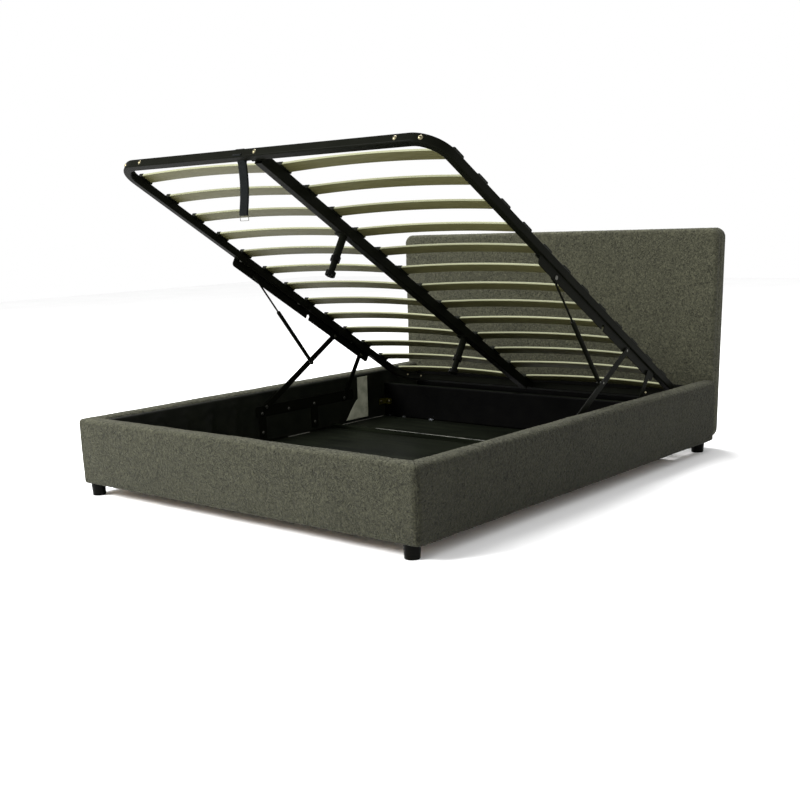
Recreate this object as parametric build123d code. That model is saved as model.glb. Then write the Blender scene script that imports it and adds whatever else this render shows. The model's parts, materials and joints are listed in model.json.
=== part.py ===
from build123d import *
import math
import os

# Ottoman storage bed with its slatted base raised. All lengths are in millimetres.
# While building, X runs across the bed, +Y from the foot face to the headboard and +Z up,
# with Y zero on the foot face. export_node moves everything so that the origin lies on the
# floor under the middle of the bed.

# Overall box
base_width = 1750.0
base_length = 2085.0
panel_thickness = 75.0
panel_underside = 50.0
panel_shoulder = 300.0
panel_crown = 314.0
panel_round = 18.0
panel_hem_round = 8.0
board_thickness = 25.0
board_top = 288.0

# Headboard
headboard_side_inset = 15.0
headboard_thickness = 78.0
headboard_top = 960.0
headboard_corner = 42.0
headboard_front_slab = 30.0
headboard_edge_round = 11.0
headboard_board_margin = 14.0

# Feet
foot_height = 50.0
foot_top_radius = 29.0
foot_sole_radius = 26.0
foot_flange = 6.0
foot_inset_x = 53.0
foot_inset_y = 36.0
foot_sole_round = 3.0

# Storage box
lining_thickness = 1.5
lining_fold = 3.0
lining_fold_width = 70.0
lining_fold_pitch = 145.0
shallow_fold_share = 0.6
floor_thickness = 6.0
ledge_height = 12.0
ledge_width = 22.0
beam_width = 70.0
head_rail_back = 270.0
head_rail_thickness = 18.0
head_rail_top = 236.0
head_cloth_top = 286.0
floor_divider_thickness = 18.0
floor_divider_rise = 10.0
floor_divider_back = 675.0
bracket_leg = 46.0
bracket_height = 30.0
bracket_sheet = 2.5
bracket_lift = 61.0
bracket_bend = 5.0
bracket_bolt_share = 0.62
patch_cloth = 0.8
patch_width = 76.0
patch_foot_width = 170.0
patch_start = 34.0
patch_gap = 4.0
patch_drop = 206.0
clip_width = 26.0
clip_leg = 8.0
clip_sheet = 1.2
clip_shares = [0.62, 0.84, 0.965]

# Slatted platform, described lying flat: s runs from its head end to its foot end, and n is
# the height above the underside of its tubes.
platform_gap_side = 5.0
platform_gap_head = 8.0
platform_gap_foot = 9.0
platform_underside = 252.0
tube_size = 32.0
tube_wall = 1.8
tube_corner = 5.0
tube_bend = 94.0
tube_stub = 115.0
sleeve_length = 130.0
sleeve_gap = 0.2
rim_seam = 0.6
sleeve_bend_angle = 34.0
rim_bolt_reach = 47.0
rim_bolt_angle = 24.0
centre_rail_width = 40.0
centre_rail_drop = 10.0
end_plate = 3.0
end_plate_width = 74.0

# Slats and their holders
slat_count = 13
slat_first = 56.0
slat_last = 84.0
slat_width = 53.0
slat_thickness = 8.0
slat_bow = 14.0
slat_edge = 2.0
holder_length = 40.0
holder_width = 63.0
holder_wall = 3.0
holder_base = 3.0
holder_slack = 0.4
holder_round = 3.0
slat_end_rise = 2.4
centre_holder_length = 74.0
centre_holder_web = 5.0

# Lift linkage, places measured back from the headboard's front face and up from the floor
lift_angle = 31.1
open_head_back = 152.0
open_head_z = 238.5
arm_pivot_back = 1115.0
arm_pivot_z = 230.0
link_pivot_z = 200.0
pivot_drop = 22.0
link_pin_s = 345.0
strut_pin_s = 1160.0
strut_pin_on_arm = 340.0
plate_sheet = 3.0
arm_sheet = 4.0
arm_half_width = 12.5
arm_root_half_width = 15.0
side_play = 0.6
pin_radius = 5.0
pin_play = 0.08
pin_head_radius = 8.5
pivot_boss_radius = 13.0
rivet_boss_radius = 7.0
pin_head_height = 2.5
head_round_share = 0.6
upper_rail_start = 290.0
upper_rail_end = 1290.0
upper_rail_setback = 3.4
upper_rail_depth = 36.0
upper_rail_corner = 14.0
upper_rail_round = 2.0
stud_notch_play = 2.5
base_plate_start_back = 1180.0
base_plate_end_back = 513.0
base_plate_low = 186.0
base_plate_high = 236.0
base_plate_lobe = 15.0
base_plate_leg_width = 44.0
base_plate_leg_low = 98.0
base_plate_leg_1_back = 1140.0
base_plate_leg_2_back = 795.0

# Gas struts
stud_radius = 4.0
stud_collar_radius = 6.5
stud_collar = 0.5
eye_radius = 9.0
eye_width = 8.0
strut_offset = 16.4
strut_tube_radius = 9.0
strut_tube_wall = 1.5
strut_tube_start = 22.0
strut_tube_length = 300.0
strut_rod_radius = 4.0
strut_rod_overlap = 40.0
strut_gland = 10.0
strut_piston = 8.0
strut_fitting = 22.0
strut_fitting_radius = 6.5
strut_neck_start = 7.5

# Fasteners
bolt_radius = 4.0
bolt_play = 0.3
bolt_head_radius = 8.0
bolt_head_height = 3.2
bolt_bite = 16.0
bolt_socket = 2.5
bolt_socket_depth = 1.6

# Centre legs
leg_radius = 15.0
leg_wall = 1.5
leg_inner_radius = 12.5
leg_collar_radius = 19.0
leg_collar_height = 22.0
leg_split_share = 0.58
leg_cap_radius = 20.0
leg_cap_height = 18.0
leg_cap_clearance = 6.0
leg_slack = 0.15
leg_plate_width = 54.0
leg_plate_sheet = 2.5
leg_1_share = 0.734
leg_2_s = 578.0

# Pull strap
strap_x = -88.0
strap_width = 42.0
strap_thickness = 1.6
strap_drop = 182.0
strap_ring_wire = 1.6
strap_ring_height = 20.0

cut_overrun = 2.0
pick_reach = 1.0

# Derived places
total_length = base_length + headboard_thickness
headboard_width = base_width - 2 * headboard_side_inset
half_width = base_width / 2
inner_x = half_width - panel_thickness
floor_bottom = panel_underside + ledge_height
floor_top = floor_bottom + floor_thickness
head_rail_y = base_length - head_rail_back
cavity_head_y = head_rail_y - lining_thickness
floor_divider_y = base_length - floor_divider_back
platform_half = inner_x - platform_gap_side
platform_length = base_length - panel_thickness - platform_gap_head - platform_gap_foot
closed_head_y = base_length - platform_gap_head
tube_axis = platform_half - tube_size / 2
centre_rail_height = tube_size + centre_rail_drop
slat_bottom = tube_size + holder_base + holder_slack
holder_height = holder_base + slat_thickness + slat_end_rise + 2 * holder_slack + holder_wall
slat_pitch = (platform_length - slat_first - slat_last - slat_width) / (slat_count - 1)
slat_places = [slat_first + slat_width / 2 - holder_width / 2 + i * slat_pitch for i in range(slat_count)]
slat_inner_x = centre_holder_web / 2 + holder_slack
slat_outer_x = platform_half - holder_wall - holder_slack
open_head_y = base_length - open_head_back
arm_pivot_y = base_length - arm_pivot_back
base_plate_start = base_length - base_plate_start_back
base_plate_end = base_length - base_plate_end_back
base_plate_leg_1 = base_length - base_plate_leg_1_back
base_plate_leg_2 = base_length - base_plate_leg_2_back
leg_1_s = platform_length * leg_1_share

# Across the left rail: distances inward from its inner face
plate_back = lining_thickness
plate_front = plate_back + plate_sheet
arm_back = plate_front + side_play
arm_front = arm_back + arm_sheet
flange_back = arm_front + upper_rail_setback
flange_front = flange_back + plate_sheet
strut_axis = arm_front + strut_offset


def turned(y, z, angle):
    """Turn the point (y, z) about the X axis by an angle in degrees."""
    c = math.cos(math.radians(angle))
    s = math.sin(math.radians(angle))
    return y * c - z * s, y * s + z * c


def open_point(s, n):
    """Place a point of the platform, with the platform raised."""
    y, z = turned(-s, n, -lift_angle)
    return open_head_y + y, open_head_z + z


def closed_point(s, n):
    """Place a point of the platform, with the platform lowered."""
    return closed_head_y - s, platform_underside + n


def arm_pin_place():
    """Find where the front arm meets the platform, so that one arm length fits both ends of the travel."""
    open_y, open_z = open_point(0, -pivot_drop)
    closed_y, closed_z = closed_point(0, -pivot_drop)
    open_y, open_z = open_y - arm_pivot_y, open_z - arm_pivot_z
    closed_y, closed_z = closed_y - arm_pivot_y, closed_z - arm_pivot_z
    step_y, step_z = turned(-1, 0, -lift_angle)
    gain = 2 * (open_y * step_y + open_z * step_z + closed_y)
    return (closed_y ** 2 + closed_z ** 2 - open_y ** 2 - open_z ** 2) / gain


def link_pivot_place():
    """Find the rear link's pivot on the bed, at link_pivot_z, at one distance from both places of its pin."""
    open_y, open_z = open_point(link_pin_s, -pivot_drop)
    closed_y, closed_z = closed_point(link_pin_s, -pivot_drop)
    middle_y, middle_z = (open_y + closed_y) / 2, (open_z + closed_z) / 2
    return middle_y + (open_z - closed_z) * (middle_z - link_pivot_z) / (open_y - closed_y)


def bearing(start, end):
    """Angle in degrees of the way from start to end, from +Y towards +Z."""
    return math.degrees(math.atan2(end[1] - start[1], end[0] - start[0]))


arm_pin_s = arm_pin_place()
arm_pivot = (arm_pivot_y, arm_pivot_z)
arm_pin_open = open_point(arm_pin_s, -pivot_drop)
arm_pin_closed = closed_point(arm_pin_s, -pivot_drop)
arm_length = math.dist(arm_pivot, arm_pin_open)
arm_angle = bearing(arm_pivot, arm_pin_open)
arm_angle_closed = bearing(arm_pivot, arm_pin_closed)
link_pivot = (link_pivot_place(), link_pivot_z)
link_pin_open = open_point(link_pin_s, -pivot_drop)
link_length = math.dist(link_pivot, link_pin_open)
link_angle = bearing(link_pivot, link_pin_open)
link_angle_closed = bearing(link_pivot, closed_point(link_pin_s, -pivot_drop))


def on_arm(distance, angle):
    """A point of the front arm at a distance from its pivot."""
    y, z = turned(distance, 0, angle)
    return arm_pivot_y + y, arm_pivot_z + z


strut_low = on_arm(strut_pin_on_arm, arm_angle)
strut_low_closed = on_arm(strut_pin_on_arm, arm_angle_closed)
strut_high = open_point(strut_pin_s, -pivot_drop)
strut_high_closed = closed_point(strut_pin_s, -pivot_drop)
strut_length = math.dist(strut_low, strut_high)
strut_length_closed = math.dist(strut_low_closed, strut_high_closed)
strut_angle = bearing(strut_low, strut_high)
strut_angle_closed = bearing(strut_low_closed, strut_high_closed)

leg_length = platform_underside - centre_rail_drop - floor_top - leg_cap_clearance


def export_node(name, shape):
    """Write one node, moved to the bed's own origin."""
    solids = list(shape) if isinstance(shape, (list, ShapeList)) else shape.solids()
    moved = [Pos(0, -total_length / 2, 0) * solid for solid in solids]
    node = moved[0] if len(moved) == 1 else Compound(children=moved)
    export_step(node, os.path.join("parts", name + ".step"))


def block(x_range, y_range, z_range):
    """A box from its three ranges."""
    sizes = [high - low for low, high in (x_range, y_range, z_range)]
    middle = [(low + high) / 2 for low, high in (x_range, y_range, z_range)]
    return Pos(*middle) * Box(*sizes)


def bar_along_x(radius, x_range, place):
    """A round bar along X through a (y, z) place."""
    low, high = min(x_range), max(x_range)
    return Pos((low + high) / 2, place[0], place[1]) * Rot(0, 90, 0) * Cylinder(radius, high - low)


def across(distance):
    """X of a plane at a distance inward from the left rail's inner face."""
    return -inner_x + distance


def across_range(near, far):
    return across(near), across(far)


def both_sides(name, left):
    """Write a left part and its mirrored right one."""
    export_node(name + "_left", left)
    export_node(name + "_right", mirrored(left))


def mirrored(shape):
    if isinstance(shape, list):
        return [piece.mirror(Plane.YZ) for piece in shape]
    return shape.mirror(Plane.YZ)


def plate_in_yz(face, x_range):
    """Give a face drawn with X as Y and Y as Z its thickness along X."""
    low, high = min(x_range), max(x_range)
    placed = Plane(origin=(low, 0, 0), x_dir=(0, 1, 0), z_dir=(1, 0, 0)) * face
    return extrude(placed, high - low, dir=(1, 0, 0))


def capsule(start, end, start_radius, end_radius):
    """A flat bar with round ends, as a face, in the (y, z) plane."""
    run = math.dist(start, end)
    tilt = math.asin((start_radius - end_radius) / run)
    up, out = math.cos(tilt), math.sin(tilt)
    corners = [
        (start_radius * out, start_radius * up),
        (run + end_radius * out, end_radius * up),
        (run + end_radius * out, -end_radius * up),
        (start_radius * out, -start_radius * up),
    ]
    body = make_face(Polyline(*corners, close=True))
    body += Circle(start_radius) + Pos(run, 0) * Circle(end_radius)
    return Pos(*start) * Rot(0, 0, bearing(start, end)) * body


def platform_place():
    """Where the platform, drawn flat with its head end on Y zero, stands when raised."""
    return Pos(0, open_head_y, open_head_z) * Rot(-lift_angle, 0, 0)


def raised(shape):
    if isinstance(shape, list):
        return [platform_place() * piece for piece in shape]
    return platform_place() * shape


def bolt(length):
    """A button-head bolt along -Z, its head on the plane Z zero, with a hexagon socket."""
    profile = Polyline(
        (0, -length), (bolt_radius, -length), (bolt_radius, 0), (bolt_head_radius, 0)
    )
    dome = ThreePointArc(
        (bolt_head_radius, 0),
        (bolt_head_radius * math.cos(math.pi / 4), bolt_head_height * math.sin(math.pi / 4)),
        (0, bolt_head_height),
    )
    outline = make_face(profile + dome + Line((0, bolt_head_height), (0, -length)))
    solid = revolve(Plane.XZ * outline, Axis.Z)
    socket = Pos(0, 0, bolt_head_height - bolt_socket_depth) * extrude(
        RegularPolygon(bolt_socket, 6), bolt_head_height
    )
    return solid - socket


def bolt_hole(length):
    """The hole for a bolt that stands on Z zero."""
    return Pos(0, 0, (cut_overrun - length) / 2) * Cylinder(bolt_radius + bolt_play, length + cut_overrun)


# Upholstered panels

def panel_profile():
    """Upright section of a padded panel: X from its outer face inward, Y up."""
    half = panel_thickness / 2
    sides = Polyline(
        (0, panel_shoulder), (0, panel_underside), (panel_thickness, panel_underside),
        (panel_thickness, panel_shoulder),
    )
    crown = ThreePointArc((panel_thickness, panel_shoulder), (half, panel_crown), (0, panel_shoulder))
    face = make_face(sides + crown)
    shoulders = face.vertices().filter_by(lambda v: abs(v.Y - panel_shoulder) < pick_reach)
    face = fillet(shoulders, panel_round)
    hem = face.vertices().filter_by(lambda v: abs(v.Y - panel_underside) < pick_reach and v.X < half)
    return fillet(hem, panel_hem_round)


def board_profile():
    """Section of the timber board behind the padding."""
    high = board_top - panel_underside
    return Pos(panel_thickness - board_thickness / 2, panel_underside + high / 2) * Rectangle(
        board_thickness, high
    )


def side_run(face):
    """Run a panel section along the left side."""
    placed = Plane(origin=(-half_width, 0, 0), x_dir=(1, 0, 0), z_dir=(0, -1, 0)) * face
    return extrude(placed, base_length, dir=(0, 1, 0))


def foot_run(face):
    """Run a panel section across the foot end."""
    placed = Plane(origin=(-half_width, 0, 0), x_dir=(0, 1, 0), z_dir=(1, 0, 0)) * face
    return extrude(placed, base_width, dir=(1, 0, 0))


def corner_mitre():
    """What the side rail leaves to the foot panel at the left corner, as a standing wedge."""
    corners = [
        (-half_width - cut_overrun, -cut_overrun),
        (-inner_x + cut_overrun, panel_thickness + cut_overrun),
        (-inner_x + cut_overrun, -cut_overrun),
    ]
    return extrude(make_face(Polyline(*corners, close=True)), panel_crown + cut_overrun)


def corner_rail_side():
    """What the foot panel leaves to the side rail at the left corner."""
    corners = [
        (-half_width - cut_overrun, -cut_overrun),
        (-inner_x + cut_overrun, panel_thickness + cut_overrun),
        (-half_width - cut_overrun, panel_thickness + cut_overrun),
    ]
    return extrude(make_face(Polyline(*corners, close=True)), panel_crown + cut_overrun)


def side_panel_parts():
    """The left side's padded cover and its board."""
    cover = side_run(panel_profile() - board_profile())
    return cover - corner_mitre(), side_run(board_profile()) - corner_mitre()


def foot_panel_parts():
    """The foot end's padded cover and its board."""
    away = corner_rail_side()
    away += mirrored(away)
    return foot_run(panel_profile() - board_profile()) - away, foot_run(board_profile()) - away


def headboard_slab(start, thickness, edge_round, shrink):
    """One layer of the headboard, with its front edges rounded."""
    width = headboard_width - 2 * shrink
    low = panel_underside + shrink
    high = headboard_top - shrink
    face = Pos(0, (low + high) / 2) * RectangleRounded(width, high - low, headboard_corner - shrink)
    placed = Plane(origin=(0, start, 0), x_dir=(1, 0, 0), z_dir=(0, -1, 0)) * face
    slab = extrude(placed, thickness, dir=(0, 1, 0))
    if edge_round:
        front = slab.faces().sort_by(Axis.Y)[0].edges()
        back = slab.faces().sort_by(Axis.Y)[-1].edges()
        slab = fillet(front + back, edge_round)
    return slab


def headboard_parts():
    """A padded front, a border behind the welt seam, and the timber board let into the back."""
    border = headboard_thickness - headboard_front_slab
    front = headboard_slab(base_length, headboard_front_slab, headboard_edge_round, 0)
    back = headboard_slab(base_length + headboard_front_slab, border, headboard_edge_round / 2, 0)
    board_start = total_length - board_thickness
    board = headboard_slab(board_start, board_thickness, 0, headboard_board_margin)
    return front + back - board, board


# Storage box

def lining_strip(length, folds_until):
    """Plan of a lining: its back straight, its front with soft folds up to a length."""
    count = int((folds_until - lining_fold_pitch) // lining_fold_pitch)
    edge = [Line((0, 0), (0, lining_thickness))]
    at = 0
    for i in range(count):
        start = lining_fold_pitch * (i + 1 / 2)
        deep = lining_thickness + lining_fold * (1 if i % 2 else shallow_fold_share)
        edge.append(Line((at, lining_thickness), (start, lining_thickness)))
        at = start + lining_fold_width
        crest = ((start + at) / 2, deep)
        edge.append(ThreePointArc((start, lining_thickness), crest, (at, lining_thickness)))
    edge.append(Line((at, lining_thickness), (length, lining_thickness)))
    edge.append(Line((length, lining_thickness), (length, 0)))
    edge.append(Line((length, 0), (0, 0)))
    return make_face(edge)


def lining_parts():
    height = board_top - floor_top
    side_length = base_length - panel_thickness - lining_thickness
    side = lining_strip(side_length, base_plate_start - panel_thickness)
    left = extrude(
        Plane(origin=(-inner_x, panel_thickness + lining_thickness, floor_top), x_dir=(0, 1, 0),
              z_dir=(0, 0, -1)) * side, height, dir=(0, 0, 1))
    foot = extrude(
        Plane(origin=(-inner_x, panel_thickness, floor_top), x_dir=(1, 0, 0), z_dir=(0, 0, 1))
        * lining_strip(2 * inner_x, 2 * inner_x), height)
    between_linings = (-inner_x + lining_thickness, inner_x - lining_thickness)
    head = [
        block(between_linings, (cavity_head_y, head_rail_y), (floor_top, head_rail_top)),
        block(between_linings, (base_length - lining_thickness, base_length), (floor_top, head_cloth_top)),
    ]
    return left, foot, head


def floor_parts():
    """Two floor panels, the divider between them, and what carries them."""
    divider_low = floor_divider_y - floor_divider_thickness / 2
    divider_high = floor_divider_y + floor_divider_thickness / 2
    across_all = (-inner_x, inner_x)
    thick = (floor_bottom, floor_top)
    foot_floor = block(across_all, (panel_thickness, divider_low), thick)
    head_floor = block(across_all, (divider_high, head_rail_y), thick)
    divider = block(across_all, (divider_low, divider_high), (panel_underside, floor_top))
    between_linings = (-inner_x + lining_thickness, inner_x - lining_thickness)
    raised_part = (floor_top, floor_top + floor_divider_rise)
    divider += block(between_linings, (divider_low, divider_high), raised_part)
    under = (panel_underside, floor_bottom)
    ledges = []
    for low, high in ((panel_thickness, divider_low), (divider_high, head_rail_y)):
        for side in (-1, 1):
            edges = sorted((side * inner_x, side * (inner_x - ledge_width)))
            ledges.append(block(edges, (low, high), under))
    inside = (-inner_x + ledge_width, inner_x - ledge_width)
    ledges.append(block(inside, (panel_thickness, panel_thickness + ledge_width), under))
    beams = []
    for s in (leg_1_s, leg_2_s):
        middle = closed_point(s, 0)[0]
        beams.append(block(inside, (middle - beam_width / 2, middle + beam_width / 2), under))
    wall = (head_rail_y, head_rail_y + head_rail_thickness)
    head_rail = block(across_all, wall, (panel_underside, floor_top))
    head_rail += block(between_linings, wall, (floor_top, head_rail_top))
    return foot_floor, head_floor, divider, ledges, beams, head_rail


def cloth_patch():
    """Loose backing cloth on the left lining: a strip past the lift's plate, wider below it."""
    sheet = across_range(lining_thickness, lining_thickness + patch_cloth)
    start = base_plate_end + patch_start
    end = start + patch_width
    low = board_top - patch_drop
    step = base_plate_low - patch_gap
    upper = block(sheet, (start, end), (step, board_top))
    lower = block(sheet, (end - patch_foot_width, end), (low, step))
    return upper + lower


def wall_clips():
    """Small bent clips that hold the floor to the board across the box."""
    clips = []
    for share in clip_shares:
        for side in (-1, 1):
            middle = side * share * inner_x
            width = (middle - clip_width / 2, middle + clip_width / 2)
            start = cavity_head_y - clip_leg
            clip = block(width, (start, cavity_head_y), (floor_top, floor_top + clip_sheet))
            clip += block(
                width, (cavity_head_y - clip_sheet, cavity_head_y), (floor_top, floor_top + clip_leg)
            )
            clips.append(clip)
    return clips


def glide_foot():
    """A turned plastic foot, standing on Z zero."""
    flange_low = foot_height - foot_flange
    outline = Polyline(
        (0, 0), (foot_sole_radius, 0), (foot_top_radius, flange_low), (foot_top_radius, foot_height),
        (0, foot_height), close=True,
    )
    face = make_face(outline)
    sole = face.vertices().filter_by(lambda v: v.Y < pick_reach and v.X > pick_reach)
    return revolve(Plane.XZ * fillet(sole, foot_sole_round), Axis.Z)


def foot_places():
    x = half_width - foot_inset_x
    rows = (foot_inset_y, base_length - foot_inset_y)
    return [(side * x, y) for y in rows for side in (-1, 1)]


def corner_bracket():
    """A bent steel angle in the left foot corner, with a bolt through either leg."""
    outer = Pos(bracket_leg / 2, bracket_leg / 2) * Rectangle(bracket_leg, bracket_leg)
    inner_size = bracket_leg - bracket_sheet
    inner = Pos(bracket_sheet + inner_size / 2, bracket_sheet + inner_size / 2) * Rectangle(
        inner_size, inner_size
    )
    angle = outer - inner
    heel = angle.vertices().sort_by(lambda v: v.X + v.Y)[0]
    angle = fillet(heel, bracket_bend)
    return extrude(angle, bracket_height)


def corner_bolt_place():
    """A bracket's bolt on either leg: its reach along the leg, and its height."""
    return bracket_leg * bracket_bolt_share, bracket_height / 2


def corner_sets():
    """Brackets, their bolts and the holes for them, at the four inner corners."""
    low = floor_top + bracket_lift
    brackets, bolts, holes = [], [], []
    back = -inner_x + lining_thickness
    for name, y, turn in (("foot", panel_thickness + lining_thickness, 1), ("head", cavity_head_y, -1)):
        piece = corner_bracket()
        reach, height = corner_bolt_place()
        places = [
            Pos(bracket_sheet, reach, height) * Rot(0, 90, 0),
            Pos(reach, bracket_sheet, height) * Rot(-90, 0, 0),
        ]
        length = bracket_sheet + lining_thickness + bolt_bite
        drilled = piece
        for place in places:
            drilled -= place * bolt_hole(length)
        fixings = [place * bolt(length) for place in places]
        cuts = [place * bolt_hole(length + bolt_play) for place in places]
        for group, target in (([drilled], brackets), (fixings, bolts), (cuts, holes)):
            for shape in group:
                if turn < 0:
                    shape = shape.mirror(Plane.XZ)
                left = Pos(back, y, low) * shape
                target.append(left)
                target.append(left.mirror(Plane.YZ))
    return brackets, bolts, holes


# Lift linkage

def base_plate_bolt_places():
    """Bolts of a base plate, as (y, z): along its lower edge and down its legs."""
    edge = base_plate_low + base_plate_lobe
    foot = base_plate_leg_low + base_plate_lobe
    middle = (base_plate_leg_1 + base_plate_leg_2) / 2
    ends = [(y, z) for y in (base_plate_leg_1, base_plate_leg_2) for z in (foot, edge)]
    return ends + [(middle, edge)]


def base_plate():
    """The steel plate on the side rail: a strip with two legs, and lobes for the two pivots."""
    strip_length = base_plate_end - base_plate_start
    strip_height = base_plate_high - base_plate_low
    strip = Pos(base_plate_start + strip_length / 2, base_plate_low + strip_height / 2) * RectangleRounded(
        strip_length, strip_height, base_plate_lobe
    )
    face = strip
    for y in (base_plate_leg_1, base_plate_leg_2):
        height = base_plate_low + strip_height / 2 - base_plate_leg_low
        face += Pos(y, base_plate_leg_low + height / 2) * RectangleRounded(
            base_plate_leg_width, height + 2 * base_plate_lobe, base_plate_lobe
        )
    for place in (arm_pivot, link_pivot):
        face += Pos(*place) * Circle(base_plate_lobe)
    plate = plate_in_yz(face, across_range(plate_back, plate_front))
    for place in (arm_pivot, link_pivot):
        boss = bar_along_x(pivot_boss_radius, across_range(plate_front, plate_front + side_play / 2), place)
        plate += boss
        plate -= bar_along_x(pin_radius + pin_play, across_range(0, arm_back), place)
    for y, z in base_plate_bolt_places():
        plate -= bar_along_x(bolt_radius + bolt_play, across_range(0, arm_back), (y, z))
    return plate


def side_bolt_place(y, z, distance):
    """A bolt head facing the middle of the bed, on a plane inward of the left rail."""
    return Pos(across(distance), y, z) * Rot(0, 90, 0)


def pivot_pin(place, back, front):
    """A headed pin along X: its shank from back to front, its head inward."""
    shank = bar_along_x(pin_radius, across_range(back, front + side_play / 2), place)
    head = bar_along_x(
        pin_head_radius, across_range(front + side_play / 2, front + side_play / 2 + pin_head_height), place
    )
    rim = head.edges().filter_by(GeomType.CIRCLE).sort_by(Axis.X)[-1]
    return shank + fillet(rim, pin_head_height * head_round_share)


def front_arm():
    """The long flat arm, wider at its pivot, with the holes for its two pins and the strut's stud."""
    face = capsule(arm_pivot, arm_pin_open, arm_root_half_width, arm_half_width)
    arm = plate_in_yz(face, across_range(arm_back, arm_front))
    through = across_range(arm_back - cut_overrun, arm_front + cut_overrun)
    for place, radius in ((arm_pivot, pin_radius), (arm_pin_open, pin_radius), (strut_low, stud_radius)):
        arm -= bar_along_x(radius + pin_play, through, place)
    return arm


def rear_link():
    """The short link; its upper end carries its own half of the split pivot."""
    face = capsule(link_pivot, link_pin_open, arm_half_width, arm_half_width)
    link = plate_in_yz(face, across_range(arm_back, arm_front))
    through = across_range(arm_back - cut_overrun, arm_front + cut_overrun)
    link -= bar_along_x(pin_radius + pin_play, through, link_pivot)
    return link + bar_along_x(
        rivet_boss_radius, across_range(arm_front, arm_front + side_play / 2), link_pin_open
    )


def upper_rail():
    """The angle section under the platform's side tube, with its pivots and a notch for the strut's stud."""
    length = upper_rail_end - upper_rail_start
    middle = (upper_rail_start + upper_rail_end) / 2
    web = Pos(-middle, -upper_rail_depth / 2) * Rectangle(length, upper_rail_depth)
    lower = web.vertices().filter_by(lambda v: v.Y < -upper_rail_depth / 2)
    web = fillet(lower, upper_rail_corner)
    notch_half = stud_collar_radius + stud_notch_play
    notch_s = closed_head_y - strut_low_closed[0]
    notch_depth = upper_rail_depth - pivot_drop + cut_overrun
    web -= Pos(-notch_s, -pivot_drop) * Circle(notch_half)
    web -= Pos(-notch_s, -pivot_drop - notch_depth / 2) * Rectangle(2 * notch_half, notch_depth)
    rail = plate_in_yz(web, across_range(flange_back, flange_front))
    shelf = block(
        across_range(flange_back, platform_gap_side + tube_size),
        (-upper_rail_end, -upper_rail_start), (-plate_sheet, 0),
    )
    inner = shelf.edges().filter_by(Axis.Z).sort_by(Axis.X)[-2:]
    rail += fillet(inner, upper_rail_round)
    through = across_range(flange_back - cut_overrun, flange_front + cut_overrun)
    for s in (link_pin_s, arm_pin_s, strut_pin_s):
        rail -= bar_along_x(pin_radius + pin_play, through, (-s, -pivot_drop))
    for place in upper_rail_bolt_places():
        rail -= place * bolt_hole(plate_sheet + cut_overrun)
    return rail


def upper_rail_bolt_places():
    """Bolts up through the angle into the side tube, heads below."""
    margin = 2 * upper_rail_corner
    rows = (
        upper_rail_start + margin / 2, (link_pin_s + arm_pin_s) / 2,
        (arm_pin_s + strut_pin_s) / 2, upper_rail_end - margin,
    )
    x = across((flange_front + platform_gap_side + tube_size) / 2)
    return [Pos(x, -s, -plate_sheet) * Rot(180, 0, 0) for s in rows]


def platform_pins():
    """The front arm's pin, and the platform's halves of the rear link's and the strut's pivots."""
    pins = []
    arm_collar, link_collar = arm_front + side_play / 2, arm_front + side_play
    for s, back, collar_start in (
        (arm_pin_s, arm_back + pin_play, arm_collar), (link_pin_s, link_collar, link_collar),
    ):
        shank = bar_along_x(pin_radius, across_range(back, flange_front), (-s, -pivot_drop))
        collar = bar_along_x(rivet_boss_radius, across_range(collar_start, flange_back), (-s, -pivot_drop))
        head = bar_along_x(
            pin_head_radius, across_range(flange_front, flange_front + pin_head_height), (-s, -pivot_drop)
        )
        rim = head.edges().filter_by(GeomType.CIRCLE).sort_by(Axis.X)[-1]
        pins.append(shank + collar + fillet(rim, pin_head_height * head_round_share))
    place = (-strut_pin_s, -pivot_drop)
    shank = bar_along_x(pin_radius, across_range(flange_back, flange_front), place)
    head = bar_along_x(pin_head_radius, across_range(flange_back - pin_head_height, flange_back), place)
    rim = head.edges().filter_by(GeomType.CIRCLE).sort_by(Axis.X)[0]
    pins.append(shank + fillet(rim, pin_head_height * head_round_share))
    return pins


def strut_frame(place):
    """A frame at a strut pin with Z along the strut, towards its upper end."""
    return Pos(across(strut_axis), place[0], place[1]) * Rot(strut_angle - 90, 0, 0)


def strut_eye(place):
    """A strut's end eye about an X axis, as (eye, hole)."""
    near, far = strut_axis - eye_width / 2, strut_axis + eye_width / 2
    eye = bar_along_x(eye_radius, across_range(near, far), place)
    hole = bar_along_x(stud_radius + pin_play, across_range(near - cut_overrun, far + cut_overrun), place)
    return eye, hole


def strut_cylinder():
    """The strut's body: an eye, a neck, and a tube closed by the gland that guides the rod."""
    eye, hole = strut_eye(strut_low)
    neck_length = strut_tube_start + strut_tube_wall - strut_neck_start
    neck = Pos(0, 0, strut_neck_start + neck_length / 2) * Cylinder(strut_fitting_radius, neck_length)
    middle = strut_tube_start + strut_tube_length / 2
    outer = Pos(0, 0, middle) * Cylinder(strut_tube_radius, strut_tube_length)
    rims = outer.edges().filter_by(GeomType.CIRCLE)
    outer = fillet(rims, strut_tube_wall)
    bore_length = strut_tube_length - strut_gland - strut_tube_wall
    bore = Pos(0, 0, strut_tube_start + strut_tube_wall + bore_length / 2) * Cylinder(
        strut_tube_radius - strut_tube_wall, bore_length
    )
    guide = Pos(0, 0, strut_tube_start + strut_tube_length - strut_gland / 2) * Cylinder(
        strut_rod_radius + pin_play, strut_gland + 2 * cut_overrun
    )
    body = strut_frame(strut_low) * (neck + outer - bore - guide)
    return body + eye - hole


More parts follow.
